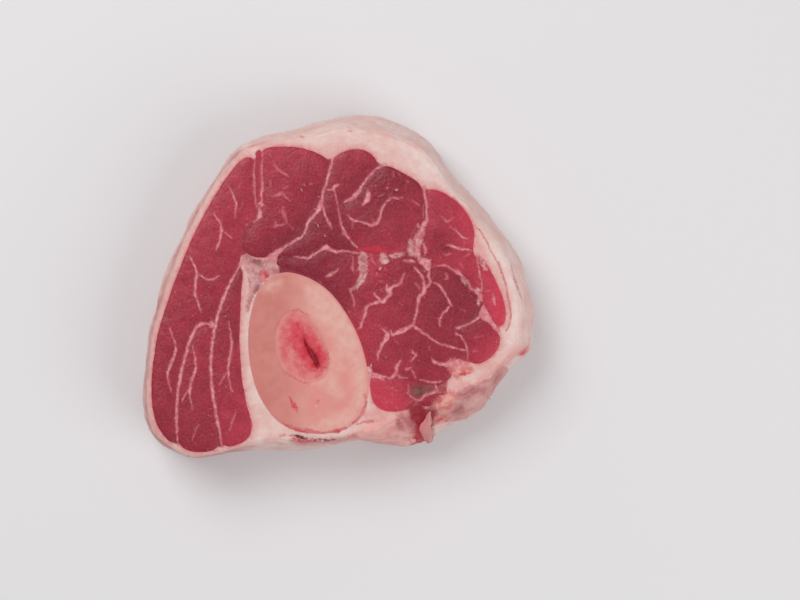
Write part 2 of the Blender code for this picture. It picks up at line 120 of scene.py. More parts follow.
# Seams and marbling: points along each pale streak of fat, with its width there
PALE_STREAKS = [
    # Upper left seam
    [(-1.4, 42.7, 1.07), (-1.8, 40.3, 0.87), (-2.7, 37.7, 0.77), (-3.5, 34.7, 0.67), (-4.3, 32, 0.67),
     (-5, 29.3, 0.8), (-5.5, 27.3, 1.5), (-6.2, 25.3, 0.93), (-7.3, 23.8, 0.73), (-8.7, 22.5, 0.73),
     (-9.8, 20.8, 0.87), (-10.2, 19.2, 0.87), (-11, 17.5, 0.73), (-12.2, 16.2, 0.67), (-14, 15, 0.6),
     (-16.3, 13.7, 0.6), (-18, 12.5, 0.73), (-19.7, 11.3, 1.33), (-21.7, 9.8, 2), (-23.7, 8.7, 2.67)],
    [(-4.8, 27, 1), (-4.2, 24.7, 0.67), (-3.3, 22.3, 0.6), (-2.3, 20.3, 0.57), (-1.7, 19.2, 0.33)],
    [(-7.5, 25.6, 0.27), (-6.2, 25.4, 0.5)],
    # Upper middle
    [(-3.7, 32.2, 0.33), (-2.3, 31.9, 0.6), (-1.3, 32.3, 0.67), (-0.5, 33.3, 0.67), (0.5, 33.8, 0.83)],
    [(1.8, 17.7, 0.8), (2.5, 17, 0.8)],
    # Upper middle seam
    [(-1.2, 32.2, 0.53), (-0.5, 30, 0.4), (0, 27.7, 0.33), (0.5, 25, 0.4), (1.2, 22, 0.43), (2, 19.3, 0.47),
     (2.9, 17.2, 0.6), (4.5, 15.2, 0.5), (5.8, 13.7, 0.67), (6.8, 12.7, 0.47)],
    # Above bone seam
    [(-14.3, 9.7, 0.27), (-12.7, 9.5, 0.47), (-11, 9.6, 0.6), (-9.7, 9.2, 0.73), (-8.3, 10, 0.73),
     (-6.7, 11.2, 0.8), (-5.3, 12, 0.87), (-3.8, 12.9, 1.27), (-2.7, 12.5, 1.07), (-1.5, 11.9, 0.73),
     (0, 11.3, 0.63), (2, 11.5, 0.57), (4, 11.5, 0.53), (6, 11.1, 0.53), (7.2, 11, 0.4)],
    # Dark seam
    [(16.3, 40.5, 1), (14.3, 39.7, 0.6), (13, 38.8, 0.53), (11.7, 37.7, 0.73), (10.3, 36.2, 0.73),
     (9, 34.3, 0.67), (8, 32.7, 0.77), (7, 31, 1.13), (5.7, 30, 1.33), (5, 29.2, 1.17), (3.7, 28.6, 0.67),
     (2.3, 27.7, 0.47)],
    # Dark muscle
    [(10.3, 32, 0.8), (10.6, 30.5, 1.53), (10.3, 29, 1.67), (9.5, 27.8, 0.87), (8.7, 26.8, 0.47)],
    [(22, 29.3, 0.3), (20.3, 29.2, 0.47), (18.7, 29.3, 0.53), (17.2, 28.7, 0.5), (16, 27.3, 0.5),
     (15.3, 25.8, 0.53), (14.7, 24.3, 0.7), (14.2, 22.7, 0.67), (13.5, 21.3, 0.73), (12.3, 20.5, 0.8),
     (11, 20.3, 0.73), (9.7, 20.8, 0.6), (8.3, 21.2, 0.47), (6.7, 21.7, 0.57), (5.3, 21.8, 0.6),
     (3.7, 23.3, 0.27)],
    # Upper right seam
    [(29, 33.3, 1.17), (29.1, 32, 0.73), (29.3, 30, 0.67), (29.5, 28.3, 0.67), (29.8, 26, 0.6),
     (29.9, 23.7, 0.6), (29.8, 21.7, 0.8), (28.8, 20.3, 1), (28, 18, 1.17), (27, 16, 1), (26.5, 13.7, 0.83),
     (27, 11.3, 1.33), (27.3, 9.7, 1.5)],
    [(29, 14.3, 0.67), (29.4, 12.3, 0.8), (29.3, 10.3, 0.6)],
    # Seams in the middle
    [(22.5, 8.3, 0.73), (24.3, 8.3, 0.87), (26, 8, 0.87)],
    [(27, 9.5, 1), (28.3, 8.3, 1.67), (30, 7, 2.67), (30.3, 5.5, 1.33)],
    [(31.2, 8.7, 0.67), (31.1, 6.7, 1)],
    # Centre muscle
    [(25.8, 6.3, 0.93), (27, 5, 0.6), (28.3, 3.5, 0.93), (28.8, 2, 0.6), (29, 0.3, 0.8), (29.1, -1.3, 1),
     (28.7, -2.7, 0.93), (27.5, -3.7, 0.8), (27.2, -5, 0.87), (27.1, -6, 0.6), (26.7, -7.7, 0.63),
     (26.2, -9.7, 0.6), (25.8, -11.3, 0.6), (25.5, -13, 0.8)],
    [(30.8, 5.3, 0.6), (30.6, 3.7, 0.6), (31.1, 1.7, 0.6), (31, 0.5, 0.67), (30, -0.3, 0.6),
     (29.2, -0.8, 0.6)],
    [(22.5, 4.2, 0.3), (21.7, 2, 0.53), (20.7, 0.7, 0.63), (19.3, 0, 0.67), (18.2, -0.7, 1),
     (17.3, -1.5, 1.67), (17.7, -2.7, 1), (16.8, -3.7, 0.87), (16, -4.5, 0.87), (15.5, -5.3, 0.93),
     (14.3, -5.2, 0.93), (13, -5.7, 0.8), (12.2, -6, 0.73), (10.7, -6.3, 0.63), (9.8, -7.3, 0.63),
     (9.5, -9, 0.67), (8.7, -10.8, 0.73), (8, -12.5, 0.73), (7.8, -13.7, 0.63), (7, -14.3, 0.93)],
    [(16.7, 0.7, 0.5), (16.5, -1, 0.83), (16.8, -2, 1)],
    [(12.3, -2.3, 0.27), (13.3, -3.5, 0.67), (14.3, -4.5, 0.8)],
    [(25.5, -13, 0.93), (24, -13.8, 0.8), (22.3, -14.7, 1), (21, -15.3, 1.13), (19.7, -15.8, 0.93),
     (18.5, -16.3, 0.73), (18, -14.7, 0.33)],
    [(17.3, -15.7, 0.67), (16.8, -16.7, 1.67), (16.3, -17.8, 1.33), (15.5, -18.8, 0.73), (14.8, -20, 0.8),
     (14.5, -21.2, 0.6), (13.8, -22.7, 0.47), (13.3, -24.7, 0.3)],
    [(15, -14.2, 0.47), (16, -15.2, 0.6), (17.2, -16.2, 0.67)],
    [(25.5, -13, 0.73), (26.7, -14.2, 0.73), (28.3, -15.5, 0.8), (30, -16.5, 0.47), (32.3, -18, 0.47),
     (34.3, -19.2, 0.47), (36.3, -19.8, 0.43), (38, -20.3, 0.6), (40, -20.9, 0.4), (43.3, -21.5, 0.4)],
    [(32.3, 1.2, 0.33), (34, 0.2, 0.6), (35, -1, 0.63), (36, -2.7, 0.63), (37, -4.5, 0.6), (37.8, -6, 0.67),
     (38.2, -6.8, 0.4)],
    [(37.7, -6.5, 0.47), (36.5, -8, 0.47), (35.2, -9.2, 0.47), (34.5, -10.7, 0.53), (34.3, -12.2, 0.67),
     (34.3, -13.3, 0.33)],
    [(25.2, -21.5, 0.6), (25.5, -22.3, 0.67), (26.3, -22.8, 0.6), (25.7, -24, 0.43), (24.5, -25, 0.67)],
    [(21.3, -24.8, 0.4), (20.5, -25.7, 0.67), (19.7, -27, 0.93), (19.7, -28.3, 0.8), (19.3, -29.7, 0.87),
     (18.2, -30.3, 0.8), (17.5, -30.7, 0.87)],
    [(23, -27.8, 0.67), (23.7, -27.7, 0.47), (24.7, -27.2, 0.33)],
    [(25, -28.3, 0.33), (25.7, -29.7, 0.33), (26.3, -30.7, 0.6)],
    [(31.5, -24, 0.4), (32.5, -25.3, 1), (34.3, -25.8, 1), (36.3, -26.3, 1.2), (37.7, -25.7, 0.87),
     (39.3, -25.5, 1.5), (41, -25.5, 1.83), (42.7, -25.7, 2)],
    [(38.8, -27.3, 0.8), (38.8, -28.7, 0.8), (39.7, -29.8, 1), (41.3, -29.2, 0.67)],
    # Lower right seam
    [(39.5, -13.9, 0.67), (40.3, -14, 0.67), (42, -13.3, 0.53), (43.3, -12.9, 0.73), (44.7, -12.2, 0.67),
     (46, -11.5, 0.67), (47.2, -10.5, 0.67), (48, -9.3, 0.73), (48.5, -8.3, 0.5)],
    [(39.5, -15.5, 0.53), (40, -16.2, 0.6), (41, -16.8, 0.4), (42, -18, 0.47), (42.8, -19.7, 0.47),
     (43.4, -21.7, 0.43), (43.6, -23.3, 0.43), (43.2, -25, 0.53)],
    # Seam below the centre muscle
    [(9.7, -28.7, 1.33), (11.3, -29.7, 1.33), (13.3, -30, 1.13), (15.3, -30.2, 0.87), (16.7, -30.5, 0.53),
     (17.7, -30.7, 0.8), (19.3, -30, 0.8)],
    [(13.7, -30.5, 0.8), (15, -31, 0.67), (16, -31.2, 0.47)],
    [(19.7, -29.3, 0.67), (21, -30.3, 0.67), (22, -30.5, 0.4), (23.7, -30.7, 0.27)],
    # Heel seam
    [(33, 6.7, 0.33), (35.3, 6.8, 0.4), (37.3, 6.2, 0.47), (39, 5.2, 0.6), (40.3, 4.5, 1.33),
     (41.7, 3.3, 1)],
    [(43.7, 0.7, 0.8), (45, -1, 1), (46.7, -2.3, 1.13), (47.7, -3.3, 1.33), (48.3, -5, 1.13)],
    # Edge seam
    [(46.7, 10.7, 0.67), (46.9, 8, 0.47), (47.3, 5.3, 0.4), (47.9, 2.7, 0.47), (48.2, 0, 0.4),
     (48.3, -2, 0.47)],
    # Upper right
    [(38, 19.7, 0.33), (39.7, 18.3, 0.53), (41, 17.3, 0.47), (42, 16.2, 0.67), (43.7, 15.7, 0.4)],
    [(36.8, 13.7, 0.73), (38.5, 13.3, 0.8), (40, 12.6, 0.53), (41.3, 12.2, 0.73), (43, 12.1, 0.57),
     (44.7, 11.7, 0.47)],
    # Above bone
    [(-3.7, 3, 0.47), (-2.3, 3.7, 0.67), (-1, 4.5, 0.67), (0.7, 5.7, 0.27)],
    # Edge wedge
    [(52, -2.7, 0.6), (52.3, -4.3, 0.73), (52.7, -6.7, 0.4)],
    # Tail of the sinew
    [(4.6, -1.2, 0.6), (5.2, -3.3, 0.53), (5.7, -5.7, 0.47), (5.8, -7, 0.2)],
    # Strip beside the front muscles
    [(-24.9, 44.3, 0.6), (-25, 40.3, 0.43), (-25, 36, 0.4), (-24.8, 33.3, 1), (-25.2, 30.3, 0.47),
     (-25.1, 27.3, 0.53)],
    [(-27.5, 42.7, 0.4), (-27.6, 37, 0.4), (-27.5, 31.3, 0.47), (-27, 27.7, 0.53)],
    [(-26.6, 26.7, 0.47), (-25.8, 27.5, 0.47), (-25, 26.7, 0.47), (-25.7, 26, 0.53)],
    [(-25.8, 25.7, 1.17), (-25.7, 24, 1.33), (-26.3, 22.5, 0.87), (-27.7, 21.3, 0.53)],
    # Tendon rim
    [(23.3, -35.3, 0.4), (24.7, -36.8, 0.47), (26.3, -37.8, 0.53), (27.7, -38, 0.6), (29, -37, 0.53),
     (30.7, -36, 0.53), (32.7, -35.5, 0.53), (34.7, -35.5, 0.6)],
    [(27.7, -31.2, 0.4), (29.7, -31.8, 0.53), (32.3, -32.2, 0.67), (34.7, -31.8, 0.8)],
    [(32.8, -32.7, 0.4), (33.3, -34.3, 0.53), (33.8, -35.7, 0.8)],
    # Front seam
    [(-38.2, -53.6, 0.67), (-40, -44, 0.87), (-42, -30, 0.87), (-41, -15, 0.87), (-37, -2, 0.93),
     (-31.7, 8, 1.33)],
    [(-53, -53, 0.67), (-53.5, -43, 0.87), (-52, -29, 0.87), (-47, -14, 0.93), (-41, -13, 1.33)],
    # Front outer
    [(-49, 10, 0.4), (-46.7, 4.7, 0.73), (-47.3, -2, 0.67), (-45, -8.7, 0.4)],
    [(-46.7, 4.7, 0.53), (-42.7, 2, 0.6), (-39, 3.3, 0.33)],
    [(-55.7, -14, 0.4), (-53.7, -21.3, 0.67), (-56.3, -28.7, 0.6), (-55.3, -35.3, 0.33)],
    [(-41, 24, 0.4), (-38.3, 18.7, 0.67), (-40.3, 12, 0.47)], [(-38.3, 18.7, 0.53), (-35, 16, 0.4)],
    [(-36.3, 33.3, 0.33), (-33.7, 28, 0.6), (-34, 22.7, 0.33)],
    # Front middle
    [(-48, -20, 0.33), (-47, -27, 0.67), (-49, -34, 0.67), (-48, -41.3, 0.47)],
    [(-49, -34, 0.53), (-51.7, -38.7, 0.4)], [(-46, -46, 0.33), (-48.3, -51.3, 0.53)],
    # Front inner
    [(-36, -12, 0.33), (-35, -20, 0.67), (-36.3, -28, 0.6), (-35, -35.3, 0.33)],
    [(-36.3, -28, 0.47), (-39.3, -32.7, 0.33)], [(-33.7, -42, 0.33), (-35.7, -48, 0.53)],
]

# Fainter streaks, the same way
SOFT_STREAKS = [
    # Beside tendon
    [(24, -32.4, 0.3), (23.7, -34.2, 0.5), (23.8, -35.6, 0.5)],
    # Upper left
    [(-22.3, 43.7, 0.33), (-21, 41, 0.33), (-20.2, 39.5, 0.8), (-19, 38.3, 0.73), (-17.3, 37.3, 0.67),
     (-16, 36.3, 0.47)],
    [(-22, 30, 0.33), (-20, 30, 0.67), (-18, 30.7, 0.73), (-16.7, 29.3, 0.5), (-15.3, 28, 0.33)],
    [(-18.3, 26, 0.83), (-17.7, 24, 1.33), (-17, 22, 1), (-16.7, 21, 0.5)],
    [(-16.7, 21, 0.4), (-18.7, 20.3, 0.4), (-20.3, 20, 0.87), (-21.3, 19.3, 0.33)],
    [(-20.3, 21.7, 0.47), (-20.2, 20, 0.67)], [(-22.3, 34.7, 0.8), (-22.3, 33.3, 0.8)],
    [(-17.7, 32.3, 0.47), (-16.3, 33, 0.67)], [(-9, 34, 0.67), (-8, 34, 0.67)],
    [(-15.7, 20.3, 0.47), (-14.7, 19, 0.53)],
    # Dark muscle
    [(5.3, 21.7, 0.67), (5.1, 19, 0.67)], [(11.5, 23, 0.5), (12.3, 21, 0.53)],
    [(19, 38.3, 0.5), (19, 36.5, 0.6)], [(28.7, 27.3, 0.3), (28.7, 24.7, 0.33), (28.8, 22.3, 0.33)],
    [(25, 28.3, 0.47), (26.3, 27.7, 0.47), (27.7, 26.7, 0.33)], [(13.7, 29.7, 0.67), (15.3, 30.3, 0.67)],
    # Centre muscle
    [(11.5, 10.3, 0.5), (11.8, 8.7, 0.6), (13, 6.7, 0.67)],
    [(25.7, 0.7, 0.4), (26.7, 0.2, 0.53), (27.3, -0.5, 0.67), (27.5, -1.2, 0.4)],
    [(18.7, -16.7, 0.4), (20.3, -19.5, 0.3)], [(41, -8, 0.47), (42.7, -8.3, 0.53)],
    [(31, -20, 0.47), (31, -21.3, 0.47)], [(36.3, 4.3, 0.47), (36.8, 2.8, 0.6), (36, 2, 0.33)],
    # Upper right
    [(34.7, 23, 0.33), (35.8, 22.2, 0.67), (36.5, 21.5, 0.8), (37.5, 21.8, 0.4), (39, 22.8, 0.27)],
    [(42.2, 15.7, 0.33), (42.7, 14, 0.27)], [(35.3, 11.2, 0.27), (36.7, 10.3, 0.67), (38.3, 11, 0.33)],
    [(42, 9.3, 0.33), (43, 10, 0.4), (44.3, 11, 0.33)], [(41, 7.7, 1), (42, 6, 0.8)],
    # Lower right
    [(45.3, -22, 0.6), (47, -21.7, 0.67)], [(45.7, -17.3, 0.47), (48.7, -16.7, 0.33)],
    # Above bone
    [(-5.7, 1.7, 0.4), (-5.3, 1, 0.33)],
    [(5.3, 10, 0.3), (5.3, 7.7, 0.47), (5.3, 6, 0.8), (5.7, 4.3, 0.33)],
    # Edge wedge
    [(49.7, -2, 0.47), (50.7, -1.7, 0.53)],
    # Beside bone
    [(19.7, -40, 0.47), (20.3, -41.3, 0.47)], [(18.3, -36.3, 0.53), (18.7, -36.7, 0.47)],
]

# Grey-white sinew, the same way
GREY_PATCHES = [
    [(24.7, 14.7, 1.67), (24.3, 12.7, 1.83), (24.8, 10.7, 1.5)], [(15.3, 9.8, 2.33), (16, 8.3, 2.5)],
    [(18.3, 10.2, 1.33), (20, 10.5, 1.67), (21.7, 10.8, 1.33)],
    [(8.7, 10, 3), (8.5, 8, 3.17), (8.7, 6, 2.83), (8.7, 4, 2.33), (8.2, 2.3, 2), (7.2, 0.8, 1.67),
     (6, -0.5, 1.17), (4.5, -1.2, 0.8)],
    [(27, 20.3, 1.17), (27.8, 19.7, 1.33)],
    [(29.4, 21, 0.8), (28.5, 18.7, 2), (27.2, 15.7, 2.4), (26.4, 12.7, 2.6), (26.4, 10.3, 2)],
    [(27.7, 9.3, 1.6), (29.7, 7.7, 2.6), (30.3, 5.7, 1.4)], [(42.3, 2, 1.67), (43.3, 0.7, 1.33)],
    [(47.2, -4.3, 1), (47.3, -6, 1)],
]

# Thin dark pink lines and dots
VEIN = [
    # Rim line
    [(38.3, 29.7, 0.33), (40, 28.3, 0.4), (41.3, 27, 0.4), (42.7, 25, 0.4), (44, 23.2, 0.33)],
    [(45.7, 20.3, 0.33), (47.7, 18.3, 0.4), (49.7, 15.3, 0.4), (51, 12.3, 0.33), (52.7, 9.3, 0.43),
     (54, 6.7, 0.57), (55.3, 3.3, 0.63), (56.2, 0.3, 0.63), (56.8, -3, 0.63), (57.3, -5.7, 0.67),
     (57.8, -8.7, 0.63), (57.5, -12, 0.53), (56.5, -15, 0.4)],
    # Second line
    [(57, 12.7, 0.4), (58, 8, 0.47), (59, 3.7, 0.47), (60, 0.7, 0.67), (61, -2, 0.53), (62, -5, 0.4)],
    # Top of the rim
    [(-24.7, 48.7, 0.27), (-27, 47.7, 0.33), (-29.3, 46.5, 0.27)],
    # Dots
    [(24.5, 50.8, 1.07), (24.8, 50.7, 1.07)], [(-22.1, 49.9, 0.67), (-21.9, 49.8, 0.67)],
    [(-12.3, 49.9, 0.53), (-11.3, 49.7, 0.53)], [(3.7, 51.7, 0.4), (4.7, 51.5, 0.4)],
    [(-6.8, -38.8, 0.4), (-6.2, -38.2, 0.6)], [(27.3, 54, 0.33), (29, 55, 0.33)],
    # Marrow ring
    [(-19.7, -13.3, 0.2), (-18.8, -11, 0.27), (-17.3, -9.3, 0.33), (-15.3, -8.5, 0.33), (-13.7, -8, 0.4),
     (-12.3, -8.2, 0.27), (-10.7, -9.2, 0.2), (-9, -10.3, 0.17)],
    [(-17.3, -28.3, 0.23), (-15.3, -30, 0.33), (-13.3, -31.2, 0.33), (-11.3, -32, 0.47),
     (-9.3, -32.7, 0.53)],
    # Bone rim
    [(-18, -45.5, 0.6), (-16.3, -46.6, 1), (-14.3, -47.4, 1.2), (-12.3, -48, 1.5), (-10.5, -48.2, 1.3),
     (-8, -48.5, 0.9), (-5, -48.8, 0.6), (-2.7, -48.7, 0.8), (-0.7, -48.4, 1.1), (1, -47.9, 1.2),
     (2.7, -47.2, 0.8)],
    # Vessel
    [(-24.7, 4.4, 2.2), (-24.4, 3, 3.2), (-24.8, 1.8, 2)],
    # Bone edge
    [(9.3, -36.3, 0.47), (9.7, -39.3, 0.6), (8.7, -42, 1), (7.3, -44, 1), (5.3, -45.7, 0.53)],
    # Blush line
    [(6.7, -46, 0.33), (9.7, -45.3, 0.67), (11.7, -45, 1)],
]

# Bright red streaks
BLOOD = [
    # Band above the bone
    [(7.3, 12.2, 0.67), (9.3, 12.3, 1.13), (11.7, 12.2, 1.33), (13.7, 12, 1), (16.3, 11.7, 0.6),
     (19.3, 11.8, 0.53), (21.7, 12.2, 0.33)],
    # Bone rim
    [(-13.7, -48, 0.33), (-12, -48.3, 0.6), (-10.7, -48.4, 0.47)], [(-0.7, -48.6, 0.4), (1, -48.1, 0.47)],
    # Bone streak
    [(-16, -37, 0.47), (-15.2, -38.3, 1.07), (-14.3, -40, 1.07), (-13.3, -41.7, 0.73)],
    # Under bone
    [(-18.7, -50, 0.67), (-17.3, -49.5, 0.67)],
    [(-15, -50.5, 0.53), (-13, -51.3, 0.87), (-11, -52, 1.07), (-8.3, -51.7, 0.8), (-5.7, -51.5, 0.33)],
    # Knot
    [(40.7, -29.3, 0.5), (42.3, -29.2, 1.3), (44.3, -28.9, 0.5)],
]

# Dark red slits and hollows: clots, and under the bone painted shadow in the slit there
CLOT_AND_SHADE = [
    # Under bone: painted shadow in the slit
    [(-16, -50, 0.3), (-13.3, -50, 0.9), (-11.7, -50.7, 1.1), (-10.7, -51, 1.1), (-9.3, -50.7, 0.6),
     (-7.7, -51.2, 0.4), (-5, -51, 0.5), (-2.7, -51.4, 0.4), (-1, -51.2, 0.2)],
    # Marrow slit
    [(-11.3, -17, 0.4), (-10.8, -18.7, 0.8), (-9.7, -20.7, 1.47), (-8.3, -22.7, 2), (-7.5, -24.3, 2),
     (-6.7, -26, 1.8), (-6.2, -27, 1.33)],
    # Dark muscle
    [(12, 36, 1), (13.3, 36.8, 0.8)], [(19.2, 31.5, 0.8), (20, 31.2, 0.53)],
    # Upper right
    [(36, 12.3, 1.33), (37.3, 12.8, 0.67)],
    # Centre muscle
    [(16, -30.8, 0.53), (17, -31.2, 0.33)],
    # Heel
    [(43, 0.5, 0.67), (43.7, 0.3, 0.33)],
]

# Cream stretches of the bone
CREAM = [
    [(-8.5, -1.5, 4), (-6.5, -3, 6.5), (-4.7, -5.5, 8.5), (-1, -9.5, 9), (1.5, -14, 8.5), (3.7, -19, 7),
     (6, -24.3, 4.5), (8, -30.7, 3), (8.3, -35.3, 3), (7, -39.3, 3.5)],
    [(5, -42, 3), (1.7, -44.5, 4.5), (-3, -46.5, 3.5), (-8.3, -47, 2)],
    [(-2, -28.7, 1.5), (-1.3, -32.7, 3), (1, -35.3, 3.5)],
    [(-24, -0.5, 1.5), (-21.5, 0.5, 2.5), (-19.5, 0.8, 1.5)],
]

# Pale film on the flap of fascia
FILM = [
    [(43.7, -40.5, 1.5), (46, -39, 2.6), (48.3, -37.5, 1.8)],
    [(44.5, -42.6, 0.4), (47.5, -40.8, 0.6), (50.5, -38, 0.6), (52.5, -35, 0.4)],
]

# Whiter stretches of the rim
WHITE = [
    [(22.5, 45.7, 2), (28, 43, 5), (33, 38.5, 4.5), (38, 33, 3), (43, 27, 1.5)],
    [(51.5, 14, 1.5), (55, 9, 3), (58.3, 3, 3.5), (59.5, -3, 3), (59.5, -12, 3), (57.5, -18.5, 2.5)],
]

# Dull red: painted shade on the slope down into the notch, painted shadow under the bone, and patches on the
# flap
DULL_RED_AND_SHADE = [
    [(-15, -51.6, 1), (-11, -52.2, 2), (-7, -52, 1.6), (-1, -51.7, 1.4), (3, -50.8, 1.4), (6, -50.2, 0.8)],
    [(20.3, -43, 1.2), (22.5, -43.6, 2.6), (24.4, -45, 2.6), (24.8, -47.5, 1.6), (25.3, -49.5, 0.8)],
    [(20.6, -44.8, 1.6), (21.2, -47.4, 1.8)], [(40, -36.5, 1), (43, -35.5, 1.8), (46, -34.7, 1.6)],
    [(38.8, -42, 1), (41.5, -40.5, 1.4)], [(52.7, -32.5, 1), (54.3, -29.5, 1.6)],
]

# Dark brown-red shadows in the fascia
DUSK = [
    [(-27.5, 8.4, 1.2), (-26.3, 8, 2), (-25.3, 7.2, 1)],
    [(-25.9, 0.1, 0.6), (-26.5, -1.2, 1.3), (-27.2, -2.2, 0.8)],
]

# Deep red stains
STAIN = [
    [(-23.9, 4.4, 1.2), (-23.7, 2.9, 1.7)], [(33.2, -45.7, 1), (34.5, -45.3, 2.1), (35.5, -44.2, 1.5)],
    [(60.8, -22.8, 1.4), (62.5, -22.4, 3), (63.8, -21, 2.2), (64.6, -19.2, 0.7), (64.4, -17.2, 0.5)],
]

# Pink blush on the bone and on the rim
BLUSH = [
    [(-12.3, -32.7, 3.33), (-6.3, -34.7, 3), (-8.3, -40, 3.33), (-7, -44.7, 2.33)],
    [(2.7, -31.3, 2.67), (3.7, -36.7, 2.67), (1, -40.7, 2)],
    [(48, -31, 3), (51.5, -28, 3), (57, -24.5, 2.4), (62, -21, 2), (64, -17, 1.6)],
    [(36, -34, 2), (40, -33.5, 3), (43, -33, 2)], [(18, -48, 1.5), (21, -49, 3), (23.5, -50.5, 2)],
    [(9.5, -43, 2), (14, -42.5, 1.5)], [(46.5, 15.5, 2), (48.5, 11, 1.5)],
    [(-21, 50, 1), (-27, 47, 1.5), (-31, 44, 1)],
]

# Small white specks
SPECK = [
    # Upper left
    [(-11.9, 32.2, 0.53), (-11.7, 31.5, 0.6)], [(-10.8, 33.6, 0.57), (-10.6, 33.5, 0.5)],
    [(-6, 29.7, 0.43), (-5.7, 29.5, 0.33)],
    # Upper middle
    [(-7.3, 20.8, 0.33), (-6.6, 20.5, 0.53), (-6.3, 19.7, 0.67)], [(-4.1, 16.6, 0.73), (-3.9, 16.7, 0.67)],
    # Dark muscle
    [(19.7, 31.9, 0.8), (20, 32, 0.73)],
    # Centre muscle
    [(14.2, 5.7, 0.93), (14.7, 6.2, 0.67)], [(11.3, -26.3, 0.67), (11.3, -27, 0.67)],
    [(16.1, -23.5, 0.53), (16.3, -23.7, 0.47)],
    # Bone
    [(-6.8, -39.7, 0.73), (-6.7, -40, 0.6)],
    # Film
    [(40.2, -44.8, 0.33), (41, -45.5, 0.53)], [(-5.2, -51.2, 0.5), (-4.9, -51.9, 0.67)],
]

# Outlines of larger markings
AREAS = {
    "marrow_red": [
        (-16, -14.3), (-15, -12.7), (-13.3, -11.8), (-11.3, -13.3), (-9.7, -15), (-7, -16.7), (-5.7, -19),
        (-4.3, -21), (-2.7, -23.3), (-2.3, -25.3), (-3.7, -27), (-5, -28.3), (-6, -29.3), (-8, -28.3),
        (-10.3, -27.3), (-12.3, -25), (-13.3, -22.7), (-14.7, -21.3), (-15.7, -18.7), (-16.7, -16.3),
    ],
    "front_membrane": [
        (4.3, -49.3), (7.7, -48), (10.3, -46.3), (12.7, -45), (17, -43.5), (21, -42.8), (24, -42.3),
        (25, -44), (25.5, -47.3), (26, -50.7), (24.7, -53), (20.3, -54.7), (17, -55.3), (12.7, -54.7),
        (8.7, -53.3), (4.3, -51.7),
    ],
    "rear_membrane": [
        (37.7, -39.3), (39.7, -36.3), (42.7, -34.3), (47.7, -32.3), (51, -31), (53.3, -28), (56.3, -27.3),
        (57.3, -30.3), (54, -35.3), (50.7, -39), (46.3, -42.3), (41.7, -45), (36.3, -45.3), (36.7, -42),
    ],
    "orange_fat": [
        (31, -41.7), (33, -38.7), (35.7, -36.2), (38.3, -35), (39.5, -36.5), (38.3, -40.7), (37.5, -43.3),
        (36.7, -45.7), (33.3, -46.3), (31.7, -45), (31.3, -43),
    ],
    "fascia": [
        (-30.5, 10.8), (-27.7, 9.6), (-25, 8.4), (-22.3, 9.4), (-20.3, 8.3), (-20.3, 6), (-18.7, 4.2),
        (-22.3, 2.8), (-25, 0.5), (-28, -4), (-29.6, -9), (-30.4, -7), (-29.4, -1), (-30, 4), (-31.6, 8),
    ],
    "knot": [
        (37.3, -25), (40, -24.8), (42.3, -25.3), (44.7, -27), (44.7, -28.7), (42.3, -29.8), (40, -30.7),
        (38.3, -29.3), (37.7, -27.3),
    ],
    "fat_triangle": [
        (48, -8.3), (48.8, -6), (50.3, -9), (51.7, -11.3), (53.7, -14), (54.3, -15.3), (52.7, -14.7),
        (50.7, -12.3), (48.3, -10.8),
    ],
    "wedge_tip": [
        (47.3, 10), (48.3, 9.5), (49.3, 7.7), (50.3, 5.3), (49, 5.7), (47.7, 7.7),
    ],
    "under_slit": [
        (24.8, -41.7), (26.3, -40.7), (29, -40.8), (31.3, -41.7), (32.2, -43.2), (31.7, -46), (31, -49.3),
        (30, -51.7), (28, -53), (26.3, -52.3), (26.2, -50), (26.3, -47.3), (25.7, -44.7), (25, -43),
    ],
}

# Where seams and gaps are filled by flesh instead of fat: the middle, the front strip and by the tendon
FLESH_AREAS = [
    [(5, 12), (6.3, 8), (5, -1.3), (9.3, -1.3), (11.7, 8), (19.3, 8), (22.7, 6.7), (31.7, 4.7), (33, 8),
     (31, 13.7), (31, 22), (27.7, 23.7), (25, 17), (21.7, 13), (14.3, 13), (6.3, 13.7)],
    [(-27.2, 43.5), (-25, 43.5), (-25, 27.5), (-26.6, 27.5)],
    [(21.6, -30), (25.8, -30), (25.8, -34.6), (21.6, -34.6)],
]

# Finely pitted and flecked stretches of lean: centre, radii and strength
PITTED = [
    (15, 33.5, 7.5, 6, 1), (20, 4, 12, 8, 0.35), (31, -8, 14, 11, 0.15), (15.5, 2.5, 4.5, 4.5, 1),
    (17, -36, 9, 5, 0.6), (54, -4, 4, 9, 0.4), (42, 20, 8, 9, 0.3),
]

# Notch in the outer wall: its outline at the top, the level up to which it is cut, where its outer end lies,
# the floor that falls away outward (where it starts, its height there and how fast it falls), and how the
# hollow narrows and drifts outward from its top to its floor
NOTCH_OUTLINE = [
    (25.0, -41.4), (26.4, -40.6), (28.6, -40.4), (30.8, -40.9), (32.1, -42.2), (31.8, -44.0), (31.2, -46.0),
    (31.2, -48.5), (31.4, -51.0), (31.6, -56.0), (26.4, -57.0), (26.4, -52.0), (26.9, -48.5), (26.6, -45.6),
    (25.6, -43.2),
]
NOTCH_TOP = 34.0
NOTCH_END = -56.0
NOTCH_FLOOR = (-41.5, 25.0, 0.085)
NOTCH_DEPTHS = [(1.0, 1.06, 0.0), (0.8, 1.0, 0.0), (0.45, 0.92, -0.3), (0.2, 0.82, -0.6), (0.0, 0.62, -0.9)]

# Where the upper part of the outer wall swells out or falls back: direction, spread in degrees, and how far
WALL_SWELLS = [(-75.5, 5.5, 2.0), (-52.5, 4.5, -1.7), (-18.5, 3.2, 1.5)]

